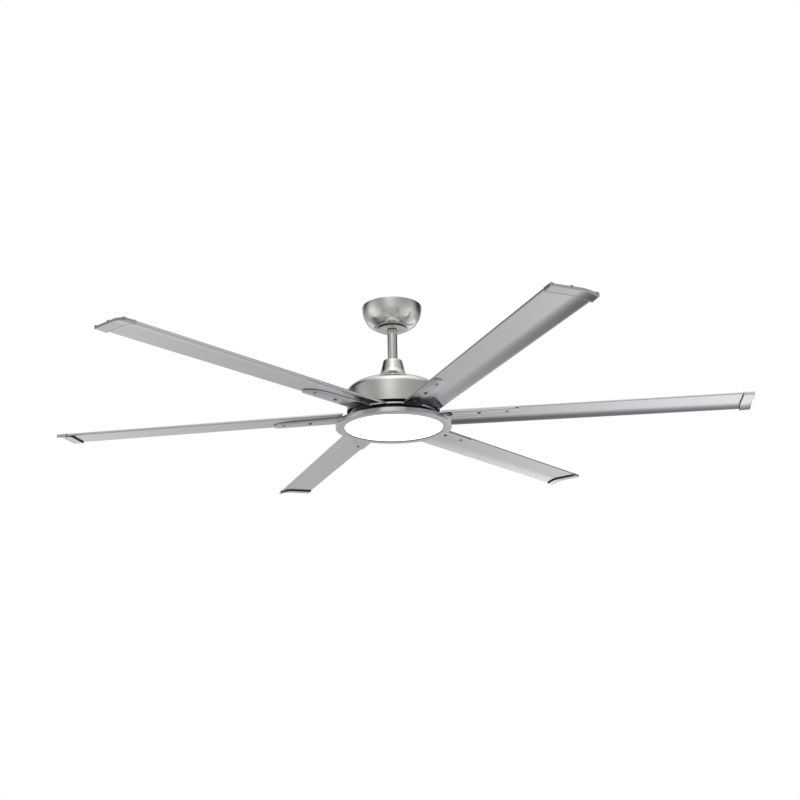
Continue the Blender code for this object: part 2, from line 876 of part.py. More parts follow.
def grown(loop, amount):
    """The loop pushed out along its corner normals."""
    n = len(loop)
    out = []
    for k in range(n):
        a, b, c = loop[k - 1], loop[k], loop[(k + 1) % n]
        e1 = Vector((b[0] - a[0], b[1] - a[1])).normalized()
        e2 = Vector((c[0] - b[0], c[1] - b[1])).normalized()
        n1, n2 = Vector((e1.y, -e1.x)), Vector((e2.y, -e2.x))
        normal = (n1 + n2).normalized()
        scale = amount / max(0.5, normal.dot(n1))
        out.append((b[0] + normal.x * scale, b[1] + normal.y * scale))
    return out


def lofted(name, stations):
    """Solid through matching loops, given as (x, loop); a repeated x folds the wall back."""
    bm = bmesh.new()
    rings = [[bm.verts.new((x * MM, y * MM, z(h))) for y, h in loop] for x, loop in stations]
    for a, b in zip(rings, rings[1:]):
        for k in range(len(a)):
            n = (k + 1) % len(a)
            bm.faces.new((a[k], a[n], b[n], b[k]))
    bm.faces.new(rings[0])
    bm.faces.new(rings[-1])
    return mesh_of(bm, name)


CAP_FLOOR = TIP_RADIUS - 3.0
blade_template = put(
    "template_blade",
    lofted(
        "blade",
        [(BLADE_ROOT, blade_section(BLADE_ROOT)), (CAP_FLOOR - 0.4, blade_section(CAP_FLOOR))],
    ),
    BLADE_SILVER,
)
for x in SCREW_X:
    y = SCREW_D - lead(x)
    combine(blade_template, rod_mesh(f"blade_hole_{x:.0f}", (x, y, -20), (x, y, 40), 2.7, 6), "DIFFERENCE")
blade_mesh = settled(blade_template)
bpy.data.objects.remove(blade_template, do_unlink=True)

# End cap: a close sleeve over the blade tip with a solid end wall, proud on the underside.
CAP_MOUTH = TIP_RADIUS - CAP_LENGTH
CAP_CLEARANCE = 0.3


def pushed(x, below):
    """The blade's section, pushed out below, and a little on top and at both edges."""
    # points 2 to 10 of the section are the underside with its two lower corners
    loop = grown(blade_section(x), 1.1)
    return [(y, h - (below - 1.1) if 2 <= k <= 10 else h) for k, (y, h) in enumerate(loop)]


cap_mesh = lofted(
    "blade_cap",
    [
        (CAP_FLOOR, grown(blade_section(CAP_FLOOR), CAP_CLEARANCE)),
        (CAP_MOUTH, grown(blade_section(CAP_MOUTH), CAP_CLEARANCE)),
        (CAP_MOUTH, pushed(CAP_MOUTH, 3.4)),
        (TIP_RADIUS, pushed(TIP_RADIUS, 2.5)),
    ],
)
cap_mesh.materials.append(ARM_STEEL)
blade_mesh.materials.clear()
blade_mesh.materials.append(BLADE_SILVER)

# Arm: a flat plate under the front half of the blade, its tongue under the flywheel.


def arm_top(x, y):
    behind = y + lead(x)
    return line_height(x) + EDGE_RISE - FLAT_SLOPE * behind - GAP


def arm_under(x, y):
    return arm_top(x, y) - ARM_T


arm_outline = [
    (ARM_INNER, -17.0),
    (104.0, -19.5),
    (124.0, -lead(124) - 1.5),
    (312.0, -lead(312) - 1.5),
    (324.0, -lead(324) + 0.5),
    (ARM_OUTER, -lead(330) + 8.5),
    (330.0, -lead(330) + 17.0),
    (321.0, -lead(321) + 28.5),
    (302.0, -lead(302) + 38.0),
    (272.0, -lead(272) + 44.5),
    (220.0, -lead(220) + 46.5),
    (150.0, -lead(150) + 50.0),
    (122.0, -lead(122) + 47.5),
    (104.0, 22.0),
    (ARM_INNER, 18.0),
]
arm_holes = [circle(x, SCREW_D - lead(x), 2.7, 8) for x in SCREW_X]
arm_holes += [circle(x, STUD_Y, 2.9, 8) for x in STUD_X]
arm_mesh = plate_mesh("blade_arm", arm_outline, arm_holes, arm_under, arm_top)
arm_mesh.materials.append(ARM_STEEL)

# Blade fixing: a nut bar on top of the blade, with its three screws up through arm and blade.
BAR_T = 2.0
fixing = put(
    "template_fixing",
    plate_mesh(
        "blade_fixing",
        [
            (SCREW_X[0] - 9, SCREW_D - lead(SCREW_X[0]) - 6),
            (SCREW_X[2] + 9, SCREW_D - lead(SCREW_X[2]) - 6),
            (SCREW_X[2] + 9, SCREW_D - lead(SCREW_X[2]) + 6),
            (SCREW_X[0] - 9, SCREW_D - lead(SCREW_X[0]) + 6),
        ],
        [],
        lambda x, y: arm_top(x, y) + GAP + MID_T + 0.45,
        lambda x, y: arm_top(x, y) + GAP + MID_T + 0.45 + BAR_T,
    ),
    SCREW_BLACK,
)
for x in SCREW_X:
    y = SCREW_D - lead(x)
    low, top = arm_under(x, y), arm_top(x, y) + GAP + MID_T + 0.45 + BAR_T
    screw = turned_mesh(
        f"fixing_screw_{x:.0f}",
        [
            (0, top - 0.6),
            (2.2, top - 0.6),
            (2.2, low - 0.45),
            (4.3, low - 0.45),
            (3.2, low - 1.9),
            (0, low - 1.9),
        ],
        8,
    )
    screw.transform(Matrix.Translation((x * MM, y * MM, 0)))
    combine(fixing, screw, "UNION")
fixing_mesh = settled(fixing)
bpy.data.objects.remove(fixing, do_unlink=True)
fixing_mesh.materials.clear()
fixing_mesh.materials.append(SCREW_BLACK)

for k in range(BLADE_COUNT):
    turn = math.radians(FIRST_BLADE_ANGLE + 60 * k)
    for stem, mesh in (
        ("blade", blade_mesh),
        ("blade_cap", cap_mesh),
        ("blade_arm", arm_mesh),
        ("blade_fixing", fixing_mesh),
    ):
        piece = bpy.data.objects.new(f"{stem}_{k + 1}", mesh)
        bpy.context.scene.collection.objects.link(piece)
        piece.rotation_euler = (0, 0, turn)
        piece.parent = spin
        piece.matrix_parent_inverse = spin.matrix_world.inverted()

# ------------------------------------------------------------------ light
turned(
    "light_pan",
    [
        (8.9, -7.2),
        (151.0, -7.2),
        (151.0, -8.4),
        (8.9, -8.4),
    ],
    36,
    CAST_DARK,
    swing_2,
)
turned(
    "light_ring",
    [
        (RING_R, RING_TOP),
        (RING_R, RING_BOTTOM + 1.2),
        (RING_R - 1.2, RING_BOTTOM),
        (RING_IN_R, RING_BOTTOM),
        (RING_IN_R, -12.0),
        (RING_IN_R + 1.6, -12.0),
        (RING_IN_R + 1.6, RING_BOTTOM + 1.7),
        (RING_R - 2.0, RING_BOTTOM + 1.7),
        (RING_R - 2.0, RING_TOP),
    ],
    44,
    LIGHT_RING_GREY,
    swing_2,
)
turned(
    "led_board",
    [(17.5, -8.8), (126.0, -8.8), (126.0, -10.4), (17.5, -10.4)],
    32,
    WHITE_PLASTIC,
    swing_2,
)
turned(
    "diffuser",
    [
        (0, -18.5),
        (LENS_R - 1.0, -18.3),
        (LENS_R, -17.6),
        (LENS_R, -12.4),
        (LENS_R - 1.6, -12.4),
        (LENS_R - 1.6, -16.5),
        (0, -16.7),
    ],
    44,
    DIFFUSER,
    swing_2,
)
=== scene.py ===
# Six-blade ceiling fan, satin nickel and silver, seen from below.
# Metres, +Z up, the origin on the ceiling plane on the fan's axis.
import math

import bmesh
import bpy
from mathutils import Matrix, Vector
from mathutils.geometry import tessellate_polygon


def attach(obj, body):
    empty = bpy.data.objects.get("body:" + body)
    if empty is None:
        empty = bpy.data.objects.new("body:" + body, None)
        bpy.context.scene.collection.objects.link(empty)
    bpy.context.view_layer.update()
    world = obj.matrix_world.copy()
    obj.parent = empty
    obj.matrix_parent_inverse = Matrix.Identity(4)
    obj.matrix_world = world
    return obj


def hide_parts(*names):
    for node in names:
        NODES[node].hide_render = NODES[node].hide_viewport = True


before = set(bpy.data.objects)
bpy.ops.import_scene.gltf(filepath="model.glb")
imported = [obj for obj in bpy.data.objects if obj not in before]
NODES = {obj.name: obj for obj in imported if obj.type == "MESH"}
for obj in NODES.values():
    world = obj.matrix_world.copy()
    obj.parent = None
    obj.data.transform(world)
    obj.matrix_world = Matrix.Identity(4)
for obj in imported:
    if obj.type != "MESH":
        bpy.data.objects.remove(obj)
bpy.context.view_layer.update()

# ---------------------------------------------------------------- shared dimensions
# Millimetres; heights are above the mean plane of the blade tips, as in the construction.
CEILING = 324.5
MM = 0.001
TIP = 914.0
FIRST_TURN = -10.27
LEAD_T, MID_T, TRAIL_T = 4.9, 2.4, 5.4
TRAIL_LIFT = 1.2
BLADE_ROOT = 130.0
CAP_LENGTH = 27.0


def Z(height):
    return (height - CEILING) * MM


# ---------------------------------------------------------------- node material helpers
class Nodes:
    """A small wrapper that makes node trees readable."""

    def __init__(self, tree):
        self.tree = tree

    def new(self, kind, **settings):
        node = self.tree.nodes.new(kind)
        for key, value in settings.items():
            setattr(node, key, value)
        return node

    def link(self, a, b):
        self.tree.links.new(a, b)

    def set(self, socket, value):
        if isinstance(value, bpy.types.NodeSocket):
            self.link(value, socket)
        elif isinstance(value, (tuple, list, Vector)):
            if socket.type == "RGBA" and len(value) == 3:
                value = (*value, 1.0)
            socket.default_value = value
        else:
            socket.default_value = value

    def math(self, operation, a, b=None, c=None, clamp=False):
        node = self.new("ShaderNodeMath", operation=operation, use_clamp=clamp)
        for index, value in enumerate((a, b, c)):
            if value is not None:
                self.set(node.inputs[index], value)
        return node.outputs[0]

    def xyz(self, vector):
        node = self.new("ShaderNodeSeparateXYZ")
        self.link(vector, node.inputs[0])
        return node.outputs

    def pack(self, x, y, zz):
        node = self.new("ShaderNodeCombineXYZ")
        for index, value in enumerate((x, y, zz)):
            self.set(node.inputs[index], value)
        return node.outputs[0]

    def noise(self, vector, scale, detail=2.0, rough=0.5, distortion=0.0):
        node = self.new("ShaderNodeTexNoise", noise_dimensions="3D")
        self.link(vector, node.inputs["Vector"])
        node.inputs["Scale"].default_value = scale
        node.inputs["Detail"].default_value = detail
        node.inputs["Roughness"].default_value = rough
        node.inputs["Distortion"].default_value = distortion
        return node.outputs["Fac"]

    def voronoi(self, vector, scale, feature="F1"):
        node = self.new("ShaderNodeTexVoronoi", feature=feature)
        self.link(vector, node.inputs["Vector"])
        node.inputs["Scale"].default_value = scale
        return node.outputs["Distance"]

    def ranged(self, value, low, high, to_low, to_high):
        node = self.new("ShaderNodeMapRange", clamp=True)
        for index, item in enumerate((value, low, high, to_low, to_high)):
            self.set(node.inputs[index], item)
        return node.outputs[0]

    def mix(self, factor, a, b):
        node = self.new("ShaderNodeMix", data_type="RGBA")
        self.set(node.inputs["Factor"], factor)
        self.set(node.inputs[6], a)
        self.set(node.inputs[7], b)
        return node.outputs[2]

    def bump(self, height, strength, distance, normal=None):
        node = self.new("ShaderNodeBump")
        node.inputs["Strength"].default_value = strength
        node.inputs["Distance"].default_value = distance
        self.link(height, node.inputs["Height"])
        if normal is not None:
            self.link(normal, node.inputs["Normal"])
        return node.outputs[0]


def shade(colour, factor):
    return tuple(min(1.0, c * factor) for c in colour)


def start_material(name):
    made = bpy.data.materials.new(name)
    made.use_nodes = True
    tree = made.node_tree
    shader = tree.nodes["Principled BSDF"]
    return made, Nodes(tree), shader


def grain_vector(n, grain):
    """Coordinates in metres that run slowly along the brushing and fast across it."""
    where = n.new("ShaderNodeTexCoord").outputs["Object"]
    x, y, height = n.xyz(where)
    if grain == "turned":  # round the Z axis
        radius = n.math("SQRT", n.math("ADD", n.math("MULTIPLY", x, x), n.math("MULTIPLY", y, y)))
        # sine and cosine of the angle, so that the pattern closes on itself
        safe = n.math("MAXIMUM", radius, 0.0005)
        s = n.math("MULTIPLY", n.math("DIVIDE", y, safe), 0.012)
        c = n.math("MULTIPLY", n.math("DIVIDE", x, safe), 0.012)
        across = n.math("ADD", radius, height)
        return where, n.pack(s, c, across)
    if grain == "long":  # along X
        return where, n.pack(n.math("MULTIPLY", x, 0.012), y, height)
    if grain == "rod":  # along Z
        return where, n.pack(x, y, n.math("MULTIPLY", height, 0.02))
    return where, where


def from_axis(n):
    """Distance from the fan's axis."""
    x, y, z = n.xyz(n.new("ShaderNodeTexCoord").outputs["Object"])
    return n.math("SQRT", n.math("ADD", n.math("MULTIPLY", x, x), n.math("MULTIPLY", y, y)))


def metal(
    name,
    colour,
    rough,
    grain="plain",
    streak=900.0,
    streak_rough=0.05,
    streak_colour=0.03,
    bump=0.02,
    mottle=0.02,
    metallic=1.0,
    wear=None,
    anisotropic=0.0,
    coat=0.0,
    dark=None,
):
    """Metal with brushed grain, slow unevenness of tone, fine scratches, and handling marks; dark adds a band of
    painted shade by radius.
    """
    made, n, shader = start_material(name)
    where, along = grain_vector(n, grain)
    fine = n.noise(along, streak, 3.0, 0.6)
    slow = n.noise(where, 9.0, 3.0, 0.55)
    smudge = n.noise(where, 34.0, 4.0, 0.65, 0.4)
    tone = n.math(
        "ADD",
        n.math("MULTIPLY", n.math("SUBTRACT", fine, 0.5), 2 * streak_colour),
        n.math("MULTIPLY", n.math("SUBTRACT", slow, 0.5), 2 * mottle),
    )
    tone = n.math("ADD", tone, 0.5)
    base = n.mix(tone, shade(colour, 0.75), shade(colour, 1.25))
    if wear is not None:
        marks = n.ranged(n.noise(where, 210.0, 5.0, 0.7, 0.3), 0.66, 0.74, 0.0, 1.0)
        base = n.mix(n.math("MULTIPLY", marks, 0.35), base, wear)
    if dark is not None:  # painted shade: blackened beyond or inside a radius in mm
        inner, outer = dark
        base = n.mix(n.ranged(from_axis(n), inner * MM, outer * MM, 0.0, 1.0), base, (0.012, 0.012, 0.013))
    n.link(base, shader.inputs["Base Color"])
    rough_value = n.math(
        "ADD",
        n.math("MULTIPLY", n.math("SUBTRACT", fine, 0.5), 2 * streak_rough),
        n.math("MULTIPLY", n.math("SUBTRACT", smudge, 0.5), 0.06),
    )
    n.link(n.math("ADD", rough_value, rough, clamp=True), shader.inputs["Roughness"])
    shader.inputs["Metallic"].default_value = metallic
    shader.inputs["Anisotropic"].default_value = anisotropic
    if coat:
        shader.inputs["Coat Weight"].default_value = coat
        shader.inputs["Coat Roughness"].default_value = 0.2
    if bump:
        n.link(n.bump(fine, bump, 0.0004), shader.inputs["Normal"])
    return made


def plastic(name, colour, rough, texture=1400.0, bump=0.12, mottle=0.05, specular=0.5):
    """Moulded plastic or paint: a fine spark-eroded texture with uneven gloss."""
    made, n, shader = start_material(name)
    where = n.new("ShaderNodeTexCoord").outputs["Object"]
    slow = n.noise(where, 22.0, 3.0, 0.6)
    fine = n.noise(where, texture, 2.0, 0.55)
    base = n.mix(
        n.math("ADD", n.math("MULTIPLY", n.math("SUBTRACT", slow, 0.5), 2 * mottle * 4), 0.5, clamp=True),
        shade(colour, 0.86),
        shade(colour, 1.12),
    )
    n.link(base, shader.inputs["Base Color"])
    n.link(n.ranged(slow, 0.25, 0.75, rough - 0.06, rough + 0.07), shader.inputs["Roughness"])
    shader.inputs["Specular IOR Level"].default_value = specular
    n.link(n.bump(fine, bump, 0.0002), shader.inputs["Normal"])
    return made


# ---------------------------------------------------------------- finishes
NICKEL = metal("satin_nickel", (0.63, 0.62, 0.60), 0.19, "turned", 1500.0, 0.03, 0.02, 0.012, 0.015)
# painted shadow: the trim ring's outer rim, beyond 39.3 mm, is blackened as the shadow line under the canopy
NICKEL_TRIM = metal("satin_nickel_trim", (0.63, 0.62, 0.60), 0.19, "turned", 1500.0, 0.03, 0.02, 0.012, 0.015, dark=(39.3, 39.8))
# painted shade: the cover darkens towards its wide foot on the drum, from 34.5 mm out
NICKEL_COVER = metal("satin_nickel_cover", (0.63, 0.62, 0.60), 0.19, "turned", 1500.0, 0.03, 0.02, 0.012, 0.015, dark=(34.5, 50.0))
NICKEL_ROD = metal("satin_nickel_rod", (0.62, 0.61, 0.59), 0.20, "rod", 1300.0, 0.03, 0.02, 0.012, 0.015)
BLADE = metal("blade_silver", (0.60, 0.595, 0.625), 0.17, "long", 1500.0, 0.025, 0.012, 0.008, 0.012)
CAP = metal("cap_silver", (0.60, 0.597, 0.615), 0.22, "plain", 2400.0, 0.02, 0.01, 0.01, 0.015)
ARM = metal("arm_silver", (0.58, 0.578, 0.595), 0.20, "plain", 2200.0, 0.03, 0.02, 0.012, 0.02)
# painted shade: the light ring's inner wall, inside 131.9 mm, is blackened as a wall in shadow
RING = metal("light_ring_grey", (0.58, 0.578, 0.592), 0.19, "turned", 1500.0, 0.025, 0.015, 0.01, 0.015, dark=(131.9, 131.4))
ZINC = metal("zinc_steel", (0.60, 0.60, 0.58), 0.36, "plain", 700.0, 0.06, 0.06, 0.05, 0.08, wear=(0.42, 0.41, 0.38))
FLYWHEEL = metal("flywheel_steel", (0.62, 0.62, 0.61), 0.33, "turned", 1200.0, 0.06, 0.04, 0.05, 0.04)
DARK_CAST = metal("dark_cast", (0.05, 0.05, 0.055), 0.55, "plain", 420.0, 0.05, 0.10, 0.20, 0.06, metallic=0.6)
HUB_BLACK = plastic("hub_black", (0.075, 0.077, 0.083), 0.46, 1100.0, 0.15)
# painted shade: the light base is blackened beyond 143.5 mm as the shaded gap at the ring's rim, seen mirrored in the
# blade roots
PAN_GREY = metal("pan_grey", (0.55, 0.555, 0.57), 0.40, "turned", 900.0, 0.05, 0.05, 0.03, 0.04, metallic=0.85, dark=(143.5, 144.5))
BALL_BLACK = plastic("ball_black", (0.03, 0.03, 0.03), 0.38, 800.0, 0.05)
WHITE_BOX = plastic("white_plastic", (0.78, 0.78, 0.76), 0.42, 1500.0, 0.10, 0.03)
LED_WHITE = plastic("led_white", (0.82, 0.82, 0.80), 0.5, 900.0, 0.05, 0.03)
BOARD_GREEN = plastic("board_green", (0.02, 0.16, 0.07), 0.38, 700.0, 0.12, 0.10)
NYLON = plastic("nylon", (0.72, 0.71, 0.64), 0.5, 800.0, 0.06, 0.04)
SCREW = metal("screw_dark", (0.20, 0.20, 0.205), 0.42, "plain", 1500.0, 0.05, 0.05, 0.05, 0.05, wear=(0.30, 0.30, 0.29))
# painted light: a lighter copy of the screw finish, for the outermost screw of each arm
SCREW_PAINTED_LIGHT = metal("screw_painted_light", (0.50, 0.50, 0.515), 0.34, "plain", 1500.0, 0.05, 0.04, 0.04, 0.05, wear=(0.40, 0.40, 0.39))
BEARING = metal("bearing_steel", (0.70, 0.70, 0.71), 0.16, "turned", 1500.0, 0.03, 0.02, 0.02, 0.01)
COPPER = metal("copper_winding", (0.72, 0.30, 0.13), 0.30, "turned", 700.0, 0.06, 0.25, 0.5, 0.10)
LAMINATION = metal("lamination_steel", (0.30, 0.30, 0.32), 0.42, "plain", 300.0, 0.08, 0.15, 0.3, 0.06)
MAGNET = metal("magnet_black", (0.08, 0.08, 0.085), 0.45, "plain", 260.0, 0.05, 0.1, 0.15, 0.05, metallic=0.4)
# painted shade: the black band at the mouth of each end cap
MOUTH_SHADE_BLACK = plastic("painted_shade_black", (0.022, 0.022, 0.025), 0.7, 900.0, 0.1, 0.05, 0.15)
STEEL_SHAFT = metal("shaft_steel", (0.60, 0.60, 0.61), 0.24, "turned", 1600.0, 0.05, 0.04, 0.05, 0.03)


def glowing(name):
    """Opal acrylic lit from behind, with a fine prismatic surface."""
    made, n, shader = start_material(name)
    where = n.new("ShaderNodeTexCoord").outputs["Object"]
    fine = n.noise(where, 600.0, 2.0, 0.5)
    slow = n.noise(where, 8.0, 2.0, 0.5)
    n.link(n.mix(slow, (0.93, 0.93, 0.925), (0.97, 0.97, 0.965)), shader.inputs["Base Color"])
    n.link(n.ranged(fine, 0.3, 0.7, 0.38, 0.5), shader.inputs["Roughness"])
    shader.inputs["Emission Color"].default_value = (1.0, 1.0, 1.0, 1.0)
    glow = n.ranged(from_axis(n), 0.1262, 0.1302, 1.03, 0.5)
    glow = n.math("MULTIPLY", glow, n.ranged(from_axis(n), 0.1302, 0.1306, 1.0, 0.1))
    n.link(glow, shader.inputs["Emission Strength"])
    n.link(n.bump(fine, 0.06, 0.0002), shader.inputs["Normal"])
    return made


OPAL = glowing("opal_diffuser")

# ---------------------------------------------------------------- mesh helpers


def finish_mesh(bm, name, sharp=30.0):
    bmesh.ops.recalc_face_normals(bm, faces=bm.faces)
    mesh = bpy.data.meshes.new(name)
    bm.to_mesh(mesh)
    bm.free()
    mesh.shade_smooth()
    mesh.set_sharp_from_angle(angle=math.radians(sharp))
    return mesh


def fillet(points, radii, steps=5):
    """Rounds the corners of a closed outline; a radius of 0 keeps the corner."""
    out = []
    count = len(points)
    for k, (p, radius) in enumerate(zip(points, radii)):
        if radius <= 0:
            out.append(p)
            continue
        here = Vector(p)
        back = Vector(points[k - 1]) - here
        ahead = Vector(points[(k + 1) % count]) - here
        lb, la = back.length, ahead.length
        back.normalize()
        ahead.normalize()
        angle = back.angle(ahead)
        if angle > math.radians(176):
            out.append(p)
            continue
        run = min(radius / math.tan(angle / 2), lb * 0.49, la * 0.49)
        real = run * math.tan(angle / 2)
        centre = here + (back + ahead).normalized() * (real / math.sin(angle / 2))
        a, b = here + back * run - centre, here + ahead * run - centre
        sweep = math.atan2(a.x * b.y - a.y * b.x, a.dot(b))
        for j in range(steps + 1):
            t = sweep * j / steps
            out.append(
                (
                    centre.x + a.x * math.cos(t) - a.y * math.sin(t),
                    centre.y + a.x * math.sin(t) + a.y * math.cos(t),
                )
            )
    return out


def smooth_line(points, per=8, closed=False):
    """Centripetal-like smooth curve through the points (Catmull-Rom)."""
    out = []
    count = len(points)
    spans = count if closed else count - 1
    for k in range(spans):
        p1, p2 = Vector(points[k]), Vector(points[(k + 1) % count])
        p0 = Vector(points[k - 1]) if closed or k > 0 else p1 * 2 - p2
        p3 = Vector(points[(k + 2) % count]) if closed or k + 2 < count else p2 * 2 - p1
        for j in range(per):
            t = j / per
            out.append(
                tuple(
                    0.5
                    * (
                        2 * p1
                        + (p2 - p0) * t
                        + (2 * p0 - 5 * p1 + 4 * p2 - p3) * t * t
                        + (3 * p1 - p0 - 3 * p2 + p3) * t * t * t
                    )
                )
            )
    if not closed:
        out.append(tuple(points[-1]))
    return out


def turned_mesh(name, profile, segments=160, sharp=30.0):
    """Closed loop of (radius, height) in mm, turned about Z."""
    bm = bmesh.new()
    rings = []
    for radius, height in profile:
        if radius < 1e-6:
            rings.append([bm.verts.new((0, 0, Z(height)))])
        else:
            rings.append(
                [
                    bm.verts.new(
                        (
                            radius * MM * math.cos(math.tau * k / segments),
                            radius * MM * math.sin(math.tau * k / segments),
                            Z(height),
                        )
                    )
                    for k in range(segments)
                ]
            )
    for a, b in zip(rings, rings[1:] + rings[:1]):
        if len(a) == 1 and len(b) == 1:
            continue
        for k in range(segments):
            m = (k + 1) % segments
            if len(a) == 1:
                bm.faces.new((a[0], b[m], b[k]))
            elif len(b) == 1:
                bm.faces.new((a[k], a[m], b[0]))
            else:
                bm.faces.new((a[k], a[m], b[m], b[k]))
    return finish_mesh(bm, name, sharp)


def add(name, mesh, look, body, stands_for=(), turn=0.0):
    obj = bpy.data.objects.new(name, mesh)
    bpy.context.scene.collection.objects.link(obj)
    obj.rotation_euler = (0, 0, turn)
    looks = look if isinstance(look, (list, tuple)) else [look]
    if not mesh.materials:
        for item in looks:
            mesh.materials.append(item)
    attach(obj, body)
    if stands_for:
        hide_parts(*stands_for)
    return obj


def plate_bm(outline, holes, low, high, edge=0.0, steps=3):
    """Flat plate with holes and rounded rims. low and high map (x, y) to a height in mm."""
    loops = [outline] + holes
    bm = bmesh.new()
    layers = []
    inset_loops = [inset(loop, edge, outer=(i == 0)) for i, loop in enumerate(loops)]
    flat = [[Vector((x, y, 0)) for x, y in loop] for loop in inset_loops]
    triangles = tessellate_polygon(flat)
    # rings from the underside, round the rim, to the top
    rows = []
    if edge:
        for k in range(steps + 1):
            a = math.pi / 2 * k / steps
            rows.append((edge * (1 - math.sin(a)), edge * (1 - math.cos(a)), "low"))
        for k in range(steps + 1):
            a = math.pi / 2 * (1 - k / steps)
            rows.append((edge * (1 - math.sin(a)), edge * (1 - math.cos(a)), "high"))
    else:
        rows = [(0.0, 0.0, "low"), (0.0, 0.0, "high")]
    for sink, lift, side in rows:
        ring = []
        for i, loop in enumerate(loops):
            for x, y in inset(loop, sink, outer=(i == 0)):
                base = low(x, y) + lift if side == "low" else high(x, y) - lift
                ring.append(bm.verts.new((x * MM, y * MM, Z(base))))
        layers.append(ring)
    for tri in triangles:
        bm.faces.new([layers[-1][i] for i in tri])
        bm.faces.new([layers[0][i] for i in reversed(tri)])
    for a, b in zip(layers, layers[1:]):
        start = 0
        for loop in loops:
            count = len(loop)
            for k in range(count):
                i, j = start + k, start + (k + 1) % count
                bm.faces.new((a[i], a[j], b[j], b[i]))
            start += count
    return bm


def inset(loop, amount, outer=True):
    """A closed outline moved into the material by amount."""
    if not amount:
        return list(loop)
    count = len(loop)
    area = sum(loop[k - 1][0] * loop[k][1] - loop[k][0] * loop[k - 1][1] for k in range(count))
    side = (1 if area > 0 else -1) * (1 if outer else -1)
    out = []
    for k in range(count):
        a, b, c = Vector(loop[k - 1]), Vector(loop[k]), Vector(loop[(k + 1) % count])
        e1, e2 = (b - a).normalized(), (c - b).normalized()
        n1, n2 = Vector((-e1.y, e1.x)), Vector((-e2.y, e2.x))
        normal = n1 + n2
        if normal.length < 1e-9:
            normal = n1
        normal.normalize()
        reach = amount / max(0.4, normal.dot(n1))
        out.append((b.x + side * normal.x * reach, b.y + side * normal.y * reach))
    return out


def circle(cx, cy, radius, steps):
    return [
        (cx + radius * math.cos(math.tau * k / steps), cy + radius * math.sin(math.tau * k / steps))
        for k in range(steps)
    ]


def lathe_into(bm, profile, centre, segments):
    """Adds a turned body on a vertical axis at centre (x, y) in mm."""
    rings = []
    cx, cy = centre
    for radius, height in profile:
        if radius < 1e-6:
            rings.append([bm.verts.new((cx * MM, cy * MM, Z(height)))])
        else:
            rings.append(
                [
                    bm.verts.new(
                        (
                            (cx + radius * math.cos(math.tau * k / segments)) * MM,
                            (cy + radius * math.sin(math.tau * k / segments)) * MM,
                            Z(height),
                        )
                    )
                    for k in range(segments)
                ]
            )
    for a, b in zip(rings, rings[1:] + rings[:1]):
        if len(a) == 1 and len(b) == 1:
            continue
        for k in range(segments):
            m = (k + 1) % segments
            if len(a) == 1:
                bm.faces.new((a[0], b[m], b[k]))
            elif len(b) == 1:
                bm.faces.new((a[k], a[m], b[0]))
            else:
                bm.faces.new((a[k], a[m], b[m], b[k]))


# ---------------------------------------------------------------- canopy, trim ring, rod
canopy_out = [
    (43.0, 262.2), (50.6, CEILING - 59.4), (58.6, CEILING - 54.2), (66.6, CEILING - 47.0),
    (72.6, CEILING - 37.3), (77.0, CEILING - 27.7), (79.5, CEILING - 18.0), (80.8, CEILING - 8.4),
    (81.1, CEILING - 0.5),
]
bowl = smooth_line(canopy_out, 10)
wall = 1.2


def offset_line(points, amount):
    out = []
    for k, p in enumerate(points):
        a = Vector(points[max(0, k - 1)])
        b = Vector(points[min(len(points) - 1, k + 1)])
        d = (b - a).normalized()
        out.append((p[0] - d.y * amount, p[1] + d.x * amount))
    return out


bowl_in = offset_line(bowl, wall)
canopy_profile = (
    [(17.6, 262.2 + wall), (17.6, 262.5), (17.9, 262.2)]
    + [(41.8, 262.2)]
    + bowl[1:-1]
    + [(81.1, CEILING - 0.9), (80.7, CEILING - 0.5), (80.2, CEILING - 0.5), (79.9, CEILING - 0.9)]
    + list(reversed(bowl_in[2:-1]))
    + [(41.4, 262.2 + wall)]
)
add("canopy_shell", turned_mesh("canopy_shell", canopy_profile, 192), NICKEL, "mount", ["canopy"])

trim_profile = fillet(
    [(16.9, 259.0), (40.0, 259.0), (40.0, 261.5), (38.4, 261.5), (38.4, 260.4), (16.9, 260.4)],
    [0.35, 1.3, 0.3, 0.2, 0.2, 0.3],
)
add("trim_ring", turned_mesh("trim_ring", trim_profile, 160), NICKEL_TRIM, "mount", ["canopy_trim_ring"])

rod_profile = fillet(
    [(10.6, 303.0), (13.35, 303.0), (13.35, 134.5), (10.6, 134.5)], [0.4, 0.6, 0.6, 0.4], 4
)
add("rod", turned_mesh("rod", rod_profile, 96), NICKEL_ROD, "hanger", ["downrod"])

# ---------------------------------------------------------------- coupling cover and motor drum
cover_out = [
    (26.6, 165.0), (29.0, 154.0), (30.8, 146.0), (32.0, 141.0), (33.3, 137.0), (34.7, 133.5), (36.6, 130.0), (38.9, 126.5), (42.6, 121.2),
]
cover_side = smooth_line(cover_out, 8)
cover_profile = (
    fillet([(14.4, 168.5), (14.4, 170.0), (24.6, 170.0), (27.0, 165.0)], [0, 0.5, 3.2, 0], 8)[:-1]
    + cover_side
    + [(43.0, 120.5), (43.0, 111.8), (42.7, 111.4), (41.9, 111.4), (41.5, 111.8), (41.5, 120.2)]
    + [(p[0] - 1.2, p[1] - 1.0) for p in reversed(cover_side[3:-3])]
    + [(25.2, 166.0), (22.8, 168.5)]
)
add("cone_cover", turned_mesh("cone_cover", cover_profile, 144), NICKEL_COVER, "hanger", ["coupling_cover"])

